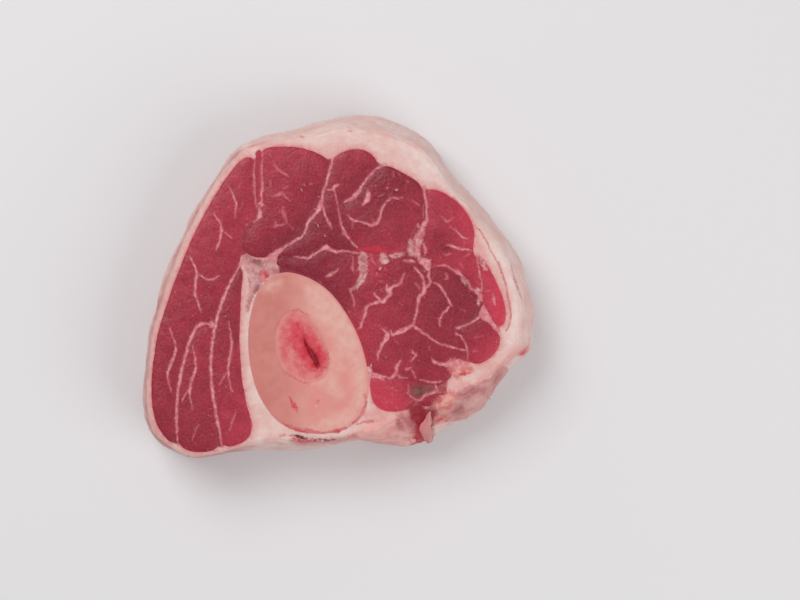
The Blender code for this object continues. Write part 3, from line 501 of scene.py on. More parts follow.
# Curl of membrane that stands in the notch: its path, with its height, its width and how far it leans over
# along the way, and the level of its foot
CURL_PATH = [(31.4, -42.0), (30.9, -44.2), (30.3, -46.8), (30.2, -49.2), (30.8, -51.4), (31.2, -53.2)]
CURL_TOPS = [26.6, 26.2, 24.8, 22.4, 19.0, 15.5]
CURL_WIDTHS = [1.1, 2.2, 3.3, 3.7, 3.4, 2.6]
CURL_LEANS = [0.2, 0.6, 0.9, 0.8, 0.4, 0.1]
CURL_FOOT = 9.0

# Frayed ends and rolls of membrane that lie on the outer wall: points along each with width, and thickness
FRAYS = [
    ([(31.6, -47.4, 1.8), (33.2, -47.2, 2.4), (35.0, -46.6, 2.2), (37.2, -45.6, 1.4)], 1.3),
    ([(24.2, -51.6, 1.2), (25.4, -52.1, 1.8), (26.5, -51.9, 1.2)], 1.2),
    ([(39.8, -44.4, 0.6), (41.0, -45.3, 0.7)], 0.5),
    ([(50.4, -37.2, 0.6), (51.6, -38.2, 0.6)], 0.5),
]


# Outlines and distances


def crosses_a_cap(edge):
    """Whether an edge lies inside a flat cap and not along its border."""
    return all(abs(face.normal.z) > FLAT for face in edge.link_faces)


def closed_loops(name, height):
    """The closed loops, in millimetres, that a node's points make at one height."""
    bm = bmesh.new()
    bm.from_mesh(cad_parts[name].data)
    bmesh.ops.remove_doubles(bm, verts=bm.verts, dist=WELD * MM)
    level = {vert for vert in bm.verts if abs(vert.co.z / MM - height) < LEVEL_BAND}
    loops = []
    while level:
        walk = [min(level, key=lambda vert: (vert.co.x, vert.co.y))]
        level.discard(walk[0])
        while True:
            near = [edge.other_vert(walk[-1]) for edge in walk[-1].link_edges if not crosses_a_cap(edge)]
            near = [vert for vert in near if vert in level]
            if not near:
                break
            walk.append(min(near, key=lambda vert: (vert.co.x, vert.co.y)))
            level.discard(walk[-1])
        if len(walk) > SHORTEST_LOOP:
            loops.append(np.array([(vert.co.x / MM, vert.co.y / MM) for vert in walk]))
    bm.free()
    return loops


def area_of(outline):
    """The area inside an outline, above 0 where it runs anticlockwise."""
    x, y = outline[:, 0], outline[:, 1]
    return 0.5 * float(np.sum(x * np.roll(y, -1) - np.roll(x, -1) * y))


def smooth_track(points, closed, fineness=8):
    """A dense track along the smooth curve through the points, with every further value carried along."""
    points = np.asarray(points, float)
    if closed:
        ring = np.vstack([points[-1:], points, points[:2]])
    else:
        ring = np.vstack([points[:1], points, points[-1:]])
    spans = []
    for t in np.arange(fineness) / fineness:
        a, b, c, d = ring[:-3], ring[1:-2], ring[2:-1], ring[3:]
        curve = 2 * b + (c - a) * t + (2 * a - 5 * b + 4 * c - d) * t**2 + (3 * b - a - 3 * c + d) * t**3
        spans.append(0.5 * curve)
    track = np.stack(spans, axis=1).reshape(-1, points.shape[1])
    return track if closed else np.vstack([track, points[-1:]])


def even_ring(outline, step):
    """Points a steady step apart round a closed outline."""
    ring = np.vstack([outline, outline[:1]])
    walked = np.concatenate([[0.0], np.cumsum(np.linalg.norm(np.diff(ring, axis=0), axis=1))])
    count = max(12, round(walked[-1] / step))
    stations = np.linspace(0.0, walked[-1], count, endpoint=False)
    return np.stack([np.interp(stations, walked, ring[:, k]) for k in (0, 1)], axis=1)


def eased(values, passes, axis=0):
    """Values round a closed ring, each blended with its neighbours."""
    for _ in range(passes):
        values = 0.25 * np.roll(values, 1, axis=axis) + 0.5 * values + 0.25 * np.roll(values, -1, axis=axis)
    return values


def outward(outline):
    """The outward normal at each point of a closed outline."""
    along = np.roll(outline, -1, axis=0) - np.roll(outline, 1, axis=0)
    along /= np.linalg.norm(along, axis=1)[:, None] + 1e-9
    side = 1.0 if area_of(outline) > 0 else -1.0
    return np.stack([side * along[:, 1], -side * along[:, 0]], axis=1)


def lattice(points, size, seed):
    """Smooth random values from -1 to 1 that change over about the given size, in two or three dimensions."""
    grid = points / np.asarray(size, float) + 300.0
    cell = np.floor(grid).astype(int)
    share = grid - cell
    share = share * share * (3.0 - 2.0 * share)
    table = np.random.default_rng(seed).uniform(-1.0, 1.0, 4096)
    primes = (73856093, 19349663, 83492791)
    total = np.zeros(len(points))
    for corner in range(2 ** points.shape[1]):
        weight, key = np.ones(len(points)), np.zeros(len(points), int)
        for axis in range(points.shape[1]):
            step = (corner >> axis) & 1
            weight *= share[:, axis] if step else 1.0 - share[:, axis]
            key ^= (cell[:, axis] + step) * primes[axis]
        total += weight * table[key % 4096]
    return total


def patches(points, size, seed):
    """Uneven patches of about the given size: two layers of smooth random values."""
    return 0.7 * lattice(points, size, seed) + 0.3 * lattice(points, 0.47 * size, seed + 1)


def natural_outline(name, height, growth, raggedness=0.10):
    """A node's outline at one height, rounded between its points and slightly ragged, as meat is."""
    loop = max(closed_loops(name, height), key=lambda ring: abs(area_of(ring)))
    ring = eased(even_ring(smooth_track(loop, closed=True), OUTLINE_STEP), 3)
    wobble = raggedness * (patches(ring, 1.6, 11) + 1.3 * patches(ring, 4.5, 12))
    return ring + outward(ring) * (growth + wobble)[:, None]


def stroke_distance(points, track):
    """For each point, the distance to the nearest stretch of a track less half the track's width there."""
    best = np.full(len(points), 1e3)
    for a, b in zip(track, track[1:]):
        run = b[:2] - a[:2]
        share = np.clip(((points - a[:2]) @ run) / (run @ run + 1e-9), 0.0, 1.0)
        gap = np.linalg.norm(points - a[:2] - share[:, None] * run, axis=1)
        half = 0.5 * (a[2] + (b[2] - a[2]) * share) if len(a) > 2 else 0.0
        best = np.minimum(best, gap - half)
    return best


def depth_inside(points, outline):
    """The distance to an outline, above 0 inside it, for the points near it."""
    depth = np.full(len(points), FAR_OUTSIDE)
    near = np.all((points >= outline.min(0) - REACH) & (points <= outline.max(0) + REACH), axis=1)
    close = points[near]
    ring = np.vstack([outline, outline[:1]])
    inside = np.zeros(len(close), bool)
    for (ax, ay), (bx, by) in zip(ring, ring[1:]):
        if ay != by:
            crossing = (ay > close[:, 1]) != (by > close[:, 1])
            inside ^= crossing & (close[:, 0] < ax + (close[:, 1] - ay) * (bx - ax) / (by - ay))
    gap = stroke_distance(close, ring)
    depth[near] = np.where(inside, gap, -gap)
    return depth


def distance_to(points, strokes, areas=()):
    """For each point, the distance to the nearest marking, below 0 inside it and at most REACH."""
    wander = [0.25 * patches(points, 1.7, seed) + 0.12 * lattice(points, 0.7, seed + 2) for seed in (81, 85)]
    points = points + np.stack(wander, axis=1)
    best = np.full(len(points), REACH)
    for stroke in strokes:
        track = smooth_track(stroke, closed=False, fineness=4)
        low, high = track[:, :2].min(0) - REACH, track[:, :2].max(0) + REACH
        near = np.flatnonzero(np.all((points > low) & (points < high), axis=1))
        if len(near):
            best[near] = np.minimum(best[near], stroke_distance(points[near], track))
    for area in areas:
        best = np.minimum(best, -depth_inside(points, even_ring(smooth_track(area, closed=True), 0.8)))
    return best


def thin_ended(strokes):
    """Strokes whose ends are drawn out thin."""
    return [[(x, y, w * (0.4 if i in (0, len(stroke) - 1) else 1.0)) for i, (x, y, w) in enumerate(stroke)]
            for stroke in strokes]


# Height on the outer wall at which a marking ends, and how sharply; the others end close to the cut face
WALL_ENDS = {
    "membrane": (9.0, 0.4), "flap": (13.0, 0.3), "film": (17.0, 0.5), "dull_red_and_shade": (19.0, 0.5),
    "ochre": (18.0, 0.5), "blood": (17.5, 0.9), "stain": (8.0, 0.6), "clot": (20.0, 0.6),
}
FACE_END = (25.0, 0.8)

# What each marking is made of: its strokes and its areas
MARKINGS = {
    "pale": (thin_ended(PALE_STREAKS), [AREAS["fat_triangle"]]),
    "soft": (thin_ended(SOFT_STREAKS), []),
    "grey": (GREY_PATCHES, [AREAS["wedge_tip"]]),
    "fascia": ([], [AREAS["fascia"]]),
    "white": (WHITE, []),
    "membrane": ([], [AREAS["front_membrane"]]),
    "flap": ([], [AREAS["rear_membrane"]]),
    "vein": (VEIN, []),
    "blood": (BLOOD, [AREAS["marrow_red"]]),
    "clot": (CLOT_AND_SHADE, [AREAS["under_slit"]]),
    "cream": (CREAM, []),
    "film": (FILM, []),
    "dull_red_and_shade": (DULL_RED_AND_SHADE, []),
    "stain": (STAIN, []),
    "dusk": (DUSK, []),
    "blush": (BLUSH, []),
    "ochre": ([], [AREAS["orange_fat"], AREAS["knot"]]),
    "speck": (SPECK, []),
}

# Looks that share the distance of another marking
SOURCES = {"pale_border": "pale", "halo": "clot"}


def bell(distance, spread):
    """A share that is 1 at no distance and 0 well beyond the spread."""
    return np.exp(-((distance / spread) ** 2))


def fading(depth, width):
    """A share that is 1 at a border and fades to 0 inside it."""
    return np.exp(-np.clip(depth, 0.0, None) / width)


def ridge(points, name, width):
    """A share that is 1 on a marking and 0 well beside it."""
    return bell(np.clip(distance_to(points, *MARKINGS[name]), 0.0, None), width)


def smooth_step(share):
    """A share from 0 to 1 that sets in and ends gently."""
    share = np.clip(share, 0.0, 1.0)
    return share**2 * (3.0 - 2.0 * share)


def shade_of(name, points):
    """The shade of one muscle at each point."""
    shade, rightwards, upwards = LEAN[name][2:]
    away = points - outlines[name].mean(0)
    shades = shade + 0.1 * (rightwards * away[:, 0] + upwards * away[:, 1])
    for x, y, spread, change in SHADE_SPOTS:
        shades += change * np.exp(-((points[:, 0] - x) ** 2 + (points[:, 1] - y) ** 2) / (2.0 * spread**2))
    return np.clip(shades, 0.0, 1.0)


def pitting(points):
    """How pitted the lean is at each point, from 0 to 1."""
    pitted = np.zeros(len(points))
    for x, y, wide, deep, strength in PITTED:
        away = np.hypot((points[:, 0] - x) / wide, (points[:, 1] - y) / deep)
        pitted = np.maximum(pitted, strength * np.clip(1.4 - away, 0.0, 1.0))
    return pitted


# Meshes


def select_only(piece):
    """Make one object the active and only selected one."""
    bpy.ops.object.select_all(action="DESELECT")
    piece.select_set(True)
    bpy.context.view_layer.objects.active = piece


def points_of(piece):
    """A piece's points in millimetres."""
    co = np.empty(len(piece.data.vertices) * 3)
    piece.data.vertices.foreach_get("co", co)
    return co.reshape(-1, 3) / MM


def set_points(piece, co):
    """Put a piece's points, in millimetres, back."""
    piece.data.vertices.foreach_set("co", (co * MM).ravel())
    piece.data.update()


def new_piece(name, mesh):
    """Link a new object for a mesh."""
    piece = bpy.data.objects.new(name, mesh)
    bpy.context.scene.collection.objects.link(piece)
    return piece


def surface_of(mesh):
    """A mesh's surface, to cast rays at."""
    bm = bmesh.new()
    bm.from_mesh(mesh)
    surface = BVHTree.FromBMesh(bm)
    bm.free()
    return surface


def stacked_piece(name, rings):
    """A closed piece skinned over rings of points that stand above one another, lowest first."""
    bm = bmesh.new()
    levels = [[bm.verts.new((x * MM, y * MM, z * MM)) for x, y, z in ring] for ring in rings]
    for lower, upper in zip(levels, levels[1:]):
        for i in range(len(lower)):
            j = (i + 1) % len(lower)
            bm.faces.new((lower[i], lower[j], upper[j], upper[i]))
    bm.faces.new(levels[0][::-1])
    bm.faces.new(levels[-1])
    bmesh.ops.triangulate(bm, faces=bm.faces)
    mesh = bpy.data.meshes.new(name)
    bm.to_mesh(mesh)
    bm.free()
    return new_piece(name, mesh)


def anticlockwise(outline):
    """An outline, turned round where it runs clockwise."""
    return outline if area_of(outline) > 0 else outline[::-1]


def column(outline, span=COLUMN_SPAN):
    """A straight column on a closed outline, to cut a piece along."""
    return stacked_piece("column", [[(x, y, z) for x, y in anticlockwise(outline)] for z in span])


def boolean(piece, other, operation):
    """Cut a piece with another or keep what they share, then remove the other."""
    modifier = piece.modifiers.new("cut", "BOOLEAN")
    modifier.operation = operation
    modifier.object = other
    modifier.solver = "MANIFOLD"
    select_only(piece)
    bpy.ops.object.modifier_apply(modifier="cut")
    bpy.data.objects.remove(other, do_unlink=True)


def write_attribute(piece, name, values):
    """Store one number per point on a piece."""
    attribute = piece.data.attributes.new(name, "FLOAT", "POINT")
    attribute.data.foreach_set("value", np.asarray(values, np.float32))


# The whole body


def wall_radii(heights, angles):
    """The distance from the slice's middle to its outer wall, with the notch bridged over."""
    surface = surface_of(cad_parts["fat_and_silverskin"].data)
    radii = np.empty((len(heights), len(angles)))
    for i, height in enumerate(heights):
        for j, angle in enumerate(angles):
            away = Vector((math.cos(angle), math.sin(angle), 0.0))
            hit = surface.ray_cast(away * 0.2 + Vector((0.0, 0.0, height * MM)), -away)[0]
            radii[i, j] = math.hypot(hit.x, hit.y) / MM
    degrees = np.degrees(angles)
    bridged = (degrees > NOTCH_SPAN[0]) & (degrees < NOTCH_SPAN[1])
    for row in radii:
        row[bridged] = np.interp(angles[bridged], angles[~bridged], row[~bridged])
    return radii


def whole_body():
    """The closed body of the slice: its outer wall with lobes, creases and nicks, taller than the slice."""
    angles = np.linspace(-math.pi, math.pi, WALL_COLUMNS, endpoint=False)
    heights = np.arange(0.1, FAT_LEVEL - 0.3, WALL_STEP)
    radii = eased(wall_radii(heights, angles), 10, axis=1)
    radii[1:-1] = 0.25 * radii[:-2] + 0.5 * radii[1:-1] + 0.25 * radii[2:]
    levels = [BODY_LOW, -0.5, *heights, FAT_LEVEL + 0.4, BODY_HIGH - 1.5, BODY_HIGH]
    radii = np.vstack([radii[0], radii[0], radii, radii[-1], radii[-1], radii[-1]])
    degrees = np.degrees(angles)
    rings = []
    for level, row in zip(levels, radii):
        ring = np.stack([row * np.cos(angles), row * np.sin(angles), np.full(len(angles), level)], axis=1)
        lobes = 0.55 * lattice(ring, (8.0, 8.0, 13.0), 31)
        creases = 0.26 * lattice(ring, (6.0, 6.0, 1.9), 32) + 0.20 * lattice(ring, (2.2, 2.2, 5.0), 34)
        frayed = np.clip(1.5 - np.abs(degrees + 52.0) / 16.0, 0.0, 1.0)
        nicks = (0.10 + 0.35 * frayed) * lattice(ring, (1.1, 1.1, 1.3), 33)
        loose = 0.0
        for middle, spread, reach in WALL_SWELLS:
            loose += reach * bell(degrees - middle, spread) * smooth_step((level - 3.0) / 10.0)
        ring[:, :2] *= 1.0 + ((lobes + creases + nicks + loose) / row)[:, None]
        rings.append(ring)
    return stacked_piece("whole_body", rings)


def notch_cutter():
    """The hollow of the notch: narrower and further out with depth."""
    outline = anticlockwise(notch)
    middle = outline.mean(0)
    rings = []
    for rise, share, drift in reversed(NOTCH_DEPTHS):
        ring = middle + (outline - middle) * share + np.array([0.0, drift])
        ring = ring + 0.35 * np.stack([patches(ring + 9.0 * rise, 2.0, seed) for seed in (51, 52)], axis=1)
        floor = notch_floor(ring[:, 1])
        rings.append(np.column_stack([ring, floor + rise * (NOTCH_TOP - floor)]))
    return stacked_piece("notch", rings)


def notch_floor(y):
    """The height of the notch's floor."""
    start, height, fall = NOTCH_FLOOR
    return height - fall * np.clip(start - y, 0.0, 14.0) ** 2


# The cut faces


def face_height(points, outlines, edge):
    """The height of the upper cut face over each point."""
    height = FAT_LEVEL + 0.12 * patches(points, 3.2, 41) + 0.16 * lattice(points, 9.0, 43)
    height += 0.05 * patches(points, 0.9, 47)
    for name, (rise, crown, *_) in LEAN.items():
        depth = depth_inside(points, outlines[name])
        shoulder = 1.0 - fading(depth, 0.9)
        dome = 1.0 - fading(depth, 5.0)
        height += np.where(depth > 0.0, rise * shoulder + crown * dome, 0.0)
        height -= 0.05 * bell(depth, 0.3)
    height += 0.12 * ridge(points, "pale", 0.25)
    height += 0.08 * ridge(points, "soft", 0.3)
    height += ridge(points, "grey", 0.5) * (0.10 + 0.12 * patches(points, 1.5, 48))
    height += 0.25 * ridge(points, "speck", 0.2)
    height += 0.18 * pitting(points) * patches(points, 1.0, 49)
    bone_depth = depth_inside(points, outlines["shin_bone"])
    bone = BONE_LEVEL + 0.03 * patches(points, 5.0, 45) + 0.02 * lattice(points, (0.7, 14.0), 50)
    bone -= 0.25 * fading(bone_depth, 0.4)
    share = np.clip(bone_depth / 0.5 + 0.5, 0.0, 1.0)
    height = height * (1.0 - share) + bone * share
    marrow = MARROW_LEVEL + 0.10 * patches(points, 1.6, 46)
    share = np.clip(depth_inside(points, outlines["marrow"]) / 2.0 + 0.4, 0.0, 1.0)
    height = height * (1.0 - share) + marrow * share
    clot = fading(distance_to(points, *MARKINGS["clot"]) + 0.5, 0.35)
    height -= 1.2 * clot * (bone_depth > -4.0)
    height -= 1.0 * fading(depth_inside(points, edge), 0.6)
    away = np.clip(-depth_inside(points, notch), 0.0, None)
    height -= (0.6 + 1.6 * smooth_step((30.0 - points[:, 0]) / 3.0)) * bell(away, 1.5)
    return height


def trimming_block(low, high, step, height_of, downwards):
    """A block whose near side follows a height field, to trim the body with."""
    counts = np.ceil((high - low) / step).astype(int)
    middle = 0.5 * (low + high)
    bpy.ops.mesh.primitive_grid_add(
        x_subdivisions=int(counts[0]), y_subdivisions=int(counts[1]), size=1.0,
        location=(middle[0] * MM, middle[1] * MM, 0.0),
    )
    block = bpy.context.object
    block.scale = ((high - low)[0] * MM, (high - low)[1] * MM, 1.0)
    bpy.ops.object.transform_apply(location=True, rotation=False, scale=True)
    co = points_of(block)
    co[:, 2] = height_of(co[:, :2])
    set_points(block, co)
    bpy.ops.object.mode_set(mode="EDIT")
    bpy.ops.mesh.select_all(action="SELECT")
    shift = -BLOCK_DEPTH if downwards else BLOCK_DEPTH
    bpy.ops.mesh.extrude_region_move(TRANSFORM_OT_translate={"value": (0.0, 0.0, shift * MM)})
    bpy.ops.mesh.select_all(action="SELECT")
    bpy.ops.mesh.normals_make_consistent(inside=False)
    bpy.ops.mesh.quads_convert_to_tris()
    bpy.ops.object.mode_set(mode="OBJECT")
    return block


def underside_height(points):
    """The height of the lower cut face, which rests on the plane at 0."""
    return 0.05 + 0.05 * patches(points, 4.0, 61)


def ribbon(stations, thickness, ground, sides=12):
    """A thin closed flake along points that each carry a width, laid on the ground."""
    stations = [(x, y, ground_height(ground, x, y) + 0.1, width) for x, y, width in stations]
    track = smooth_track(stations, closed=False, fineness=5)
    along = np.gradient(track[:, :3], axis=0)
    along /= np.linalg.norm(along, axis=1)[:, None]
    across = np.cross(along, (0.30, -0.50, 0.80))
    across /= np.linalg.norm(across, axis=1)[:, None]
    lift = np.cross(along, across)
    rings = []
    for i, point in enumerate(track):
        taper = math.sin(math.pi * (i + 0.7) / (len(track) + 0.4)) ** 0.6
        turns = 2.0 * math.pi * np.arange(sides) / sides
        ring = point[:3] + 0.5 * taper * (
            point[3] * np.cos(turns)[:, None] * across[i] + thickness * np.sin(turns)[:, None] * lift[i]
        )
        rings.append(ring + 0.12 * np.stack([lattice(ring, 0.7, seed) for seed in (71, 72, 73)], axis=1))
    return rings


def ground_height(ground, x, y):
    """The height of a surface under one place, or half way up the wall beyond it."""
    hit = ground.ray_cast(Vector((x * MM, y * MM, ABOVE_ALL * MM)), Vector((0.0, 0.0, -1.0)))[0]
    return HALF_WAY_UP if hit is None else hit.z / MM


def curl_rings():
    """Rings up the curl of membrane, each running out along one side of the fold and back along the other."""
    path = smooth_track(list(zip(*zip(*CURL_PATH), CURL_TOPS, CURL_WIDTHS, CURL_LEANS)), False, 8)
    along = np.gradient(path[:, :2], axis=0)
    along /= np.linalg.norm(along, axis=1)[:, None]
    side = np.stack([-along[:, 1], along[:, 0]], axis=1)
    foot = np.minimum(CURL_FOOT, notch_floor(path[:, 1]) - 1.0)
    rings = []
    for share in np.linspace(0.0, 1.0, 34):
        height = foot + min(1.0, 1.06 * share) * (path[:, 2] - foot)
        centre = path[:, :2] - np.column_stack([path[:, 4] * share**2, np.zeros(len(path))])
        centre = centre + 0.30 * np.sin(path[:, 1:2] * 1.3 + 4.0 * share) * side
        rounded = math.sqrt(max(0.0, 1.0 - max(0.0, (share - 0.86) / 0.14) ** 2))
        half = 0.5 * path[:, 3] * (0.12 + 0.88 * rounded) * (1.0 + 0.16 * math.sin(9.0 * share + 1.0))
        half = half * np.sin(np.linspace(0.3, math.pi - 0.3, len(path))) ** 0.6
        out = np.column_stack([centre + side * half[:, None], height])
        back = np.column_stack([centre - side * half[:, None], height - (0.5 + 0.7 * half) * share])[::-1]
        ring = np.vstack([out, back])
        folds = 0.35 * np.stack([lattice(ring, (1.6, 1.6, 5.0), seed) for seed in (75, 76, 77)], axis=1)
        rings.append(ring + folds * np.array([1.0, 1.0, 0.6]))
    return rings


def finish_piece(piece, material, node):
    """Shade a piece, give it its material and put it in the place of its node."""
    select_only(piece)
    bpy.ops.object.shade_smooth_by_angle(angle=math.radians(SMOOTH_DEGREES))
    piece.data.materials.clear()
    piece.data.materials.append(material)
    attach(piece, "root")
    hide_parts(node)


def mark(piece, names):
    """Write the distance to each marking that a piece shows; down the outer wall the markings end."""
    place = points_of(piece)
    uneven = 2.5 * patches(place, 6.0, 91)
    drift = np.stack([patches(place, 5.0, 88), patches(place, 5.0, 89)], axis=1)
    drift *= 0.12 * np.clip(FAT_LEVEL - 1.0 - place[:, 2:], 0.0, None)
    for name in dict.fromkeys(SOURCES.get(look, look) for look in names):
        end, steepness = WALL_ENDS.get(name, FACE_END)
        below = np.clip(end + (uneven if name in WALL_ENDS else 0.0) - place[:, 2], 0.0, None)
        distance = distance_to(place[:, :2] + drift, *MARKINGS[name])
        write_attribute(piece, name, np.minimum(distance + steepness * below, REACH))


# Node helpers for the materials


def linear(red, green, blue):
    """A colour from its everyday 0 to 255 values."""
    def channel(value):
        value /= 255.0
        return value / 12.92 if value <= 0.04045 else ((value + 0.055) / 1.055) ** 2.4
    return (channel(red), channel(green), channel(blue), 1.0)


def add_node(tree, kind, inputs=None, **settings):
    """A node with its settings, its plain values and its links."""
    item = tree.nodes.new(kind)
    for key, value in settings.items():
        setattr(item, key, value)
    for key, value in (inputs or {}).items():
        feed(tree, item.inputs[key], value)
    return item


def feed(tree, socket, value):
    """Link a socket to another one, or set it to a plain value."""
    if isinstance(value, bpy.types.NodeSocket):
        tree.links.new(value, socket)
    else:
        socket.default_value = value


def maths(tree, operation, a, b=0.0, c=0.0):
    """The result of a Math node."""
    return add_node(tree, "ShaderNodeMath", {0: a, 1: b, 2: c}, operation=operation).outputs[0]


def remap(tree, value, from_low, from_high, to_low=0.0, to_high=1.0):
    """A value smoothly mapped and clamped from one range to another."""
    return add_node(tree, "ShaderNodeMapRange", {
        "Value": value, "From Min": from_low, "From Max": from_high, "To Min": to_low, "To Max": to_high,
    }, interpolation_type="SMOOTHSTEP").outputs["Result"]


def blend_colours(tree, share, a, b):
    """Colour a turning to colour b by the share; each is a socket or three everyday values."""
    item = add_node(tree, "ShaderNodeMix", {0: share}, data_type="RGBA")
    for index, colour in ((6, a), (7, b)):
        feed(tree, item.inputs[index], linear(*colour) if isinstance(colour, tuple) else colour)
    return item.outputs[2]


def attribute(tree, name):
    """A number stored on the piece's points."""
    return add_node(tree, "ShaderNodeAttribute", attribute_name=name).outputs["Fac"]


def object_place(tree):
    """Object coordinates, from one node in each tree."""
    item = tree.nodes.get("place") or add_node(tree, "ShaderNodeTexCoord", name="place")
    return item.outputs["Object"]


def cells(tree, scale, feature="F1"):
    """The distances in a pattern of cells."""
    return add_node(tree, "ShaderNodeTexVoronoi", {
        "Vector": object_place(tree), "Scale": scale, "Randomness": 1.0,
    }, feature=feature).outputs["Distance"]


def noise(tree, size, detail=3.0, roughness=0.55):
    """Noise from 0 to 1 whose patches are about the given size in millimetres."""
    return add_node(tree, "ShaderNodeTexNoise", {
        "Vector": object_place(tree), "Scale": 1.0 / (size * MM), "Detail": detail, "Roughness": roughness,
    }).outputs["Fac"]


def start_group(name, inputs, outputs):
    """A shader node group with number inputs and outputs."""
    tree = bpy.data.node_groups.new(name, "ShaderNodeTree")
    for label, value in inputs:
        tree.interface.new_socket(label, in_out="INPUT", socket_type="NodeSocketFloat").default_value = value
    for label in outputs:
        tree.interface.new_socket(label, in_out="OUTPUT", socket_type="NodeSocketFloat")
    return tree, tree.nodes.new("NodeGroupInput"), tree.nodes.new("NodeGroupOutput")


def soft_line_group():
    """A mask from a stored distance: a marking with a soft and ragged border."""
    tree, given, result = start_group("soft_line", [
        ("Distance", 1.0), ("Reach", 0.0), ("Softness", 0.2), ("Raggedness", 0.25),
    ], ["Mask"])
    fine = maths(tree, "SUBTRACT", noise(tree, 0.55, detail=4.0, roughness=0.7), 0.5)
    wide = maths(tree, "SUBTRACT", noise(tree, 2.2, detail=2.0), 0.5)
    ragged = maths(tree, "MULTIPLY_ADD", wide, 0.7, fine)
    moved = maths(tree, "MULTIPLY_ADD", ragged, given.outputs["Raggedness"], given.outputs["Distance"])
    shifted = maths(tree, "SUBTRACT", moved, given.outputs["Reach"])
    share = maths(tree, "DIVIDE", shifted, given.outputs["Softness"])
    tree.links.new(remap(tree, share, -1.0, 1.0, 1.0, 0.0), result.inputs["Mask"])
    return tree


def moist_relief_group():
    """Height of the fine relief of wet tissue: soft grain and the tooth of its bundles."""
    tree, given, result = start_group("moist_relief", [("Grain", 1.0), ("Bundles", 1.0)], ["Height"])
    grain = noise(tree, 1.0, detail=5.0, roughness=0.62)
    bundles = cells(tree, 1.0 / (0.9 * MM))
    mixed = maths(tree, "MULTIPLY", grain, given.outputs["Grain"])
    height = maths(tree, "MULTIPLY_ADD", bundles, given.outputs["Bundles"], mixed)
    tree.links.new(height, result.inputs["Height"])
    return tree


def flecks_group():
    """A mask of small scattered flecks."""
    tree, given, result = start_group("flecks", [("Size", 1.0), ("Amount", 0.3)], ["Mask"])
    centres = cells(tree, maths(tree, "DIVIDE", 1.0 / MM, given.outputs["Size"]))
    size = maths(tree, "MULTIPLY", remap(tree, noise(tree, 4.0), 0.45, 0.75), given.outputs["Amount"])
    mask = remap(tree, maths(tree, "SUBTRACT", size, centres), 0.0, 0.12)
    tree.links.new(mask, result.inputs["Mask"])
    return tree


def drawn_streaks_group():
    """A mask of fine streaks that run round the slice, parallel to its outer edge."""
    tree, given, result = start_group("drawn_streaks", [("Layer", 0.0), ("Size", 1.0)], ["Mask"])
    level = {0: object_place(tree), 1: (1.0, 1.0, 0.0)}
    flat = add_node(tree, "ShaderNodeVectorMath", level, operation="MULTIPLY").outputs[0]
    around = add_node(tree, "ShaderNodeVectorMath", {0: flat}, operation="NORMALIZE").outputs[0]
    split = add_node(tree, "ShaderNodeSeparateXYZ", {0: around})
    ends = {axis: maths(tree, "MULTIPLY", split.outputs[axis], 7.0) for axis in (0, 1)}
    layer = maths(tree, "DIVIDE", given.outputs["Layer"], given.outputs["Size"])
    joined = add_node(tree, "ShaderNodeCombineXYZ", ends | {2: layer}).outputs[0]
    streaks = add_node(tree, "ShaderNodeTexNoise", {
        "Vector": joined, "Scale": 1.0, "Detail": 4.0, "Roughness": 0.6,
    }).outputs["Fac"]
    tree.links.new(remap(tree, streaks, 0.40, 0.68), result.inputs["Mask"])
    return tree


GROUPS = {
    "soft_line": soft_line_group(),
    "moist_relief": moist_relief_group(),
    "flecks": flecks_group(),
    "drawn_streaks": drawn_streaks_group(),
}


def use_group(tree, name, inputs):
    """The first output of one of the shared groups."""
    item = add_node(tree, "ShaderNodeGroup", node_tree=GROUPS[name])
    for key, value in inputs.items():
        feed(tree, item.inputs[key], value)
    return item.outputs[0]


def start_material(name, roughness, subsurface, radius):
    """A material with its Principled shader."""
    material = bpy.data.materials.new(name)
    material.use_nodes = True
    tree = material.node_tree
    shader = tree.nodes["Principled BSDF"]
    shader.inputs["Roughness"].default_value = roughness
    shader.inputs["IOR"].default_value = WET_IOR
    shader.inputs["Subsurface Weight"].default_value = subsurface
    shader.inputs["Subsurface Radius"].default_value = radius
    shader.inputs["Subsurface Scale"].default_value = SCATTER * MM
    return material, tree, shader


def finish_shader(tree, shader, base, grain, bundles, depth):
    """Feed the shader its colour and a moist relief of the given depth in millimetres."""
    tree.links.new(base, shader.inputs["Base Color"])
    relief = use_group(tree, "moist_relief", {"Grain": grain, "Bundles": bundles})
    bump = add_node(tree, "ShaderNodeBump", {"Height": relief, "Strength": 1.0, "Distance": depth * MM})
    tree.links.new(bump.outputs["Normal"], shader.inputs["Normal"])


def mottled(tree, size, low, high, first, second):
    """Two colours mixed in soft patches of the given size in millimetres."""
    return blend_colours(tree, remap(tree, noise(tree, size, detail=4.0), low, high), first, second)


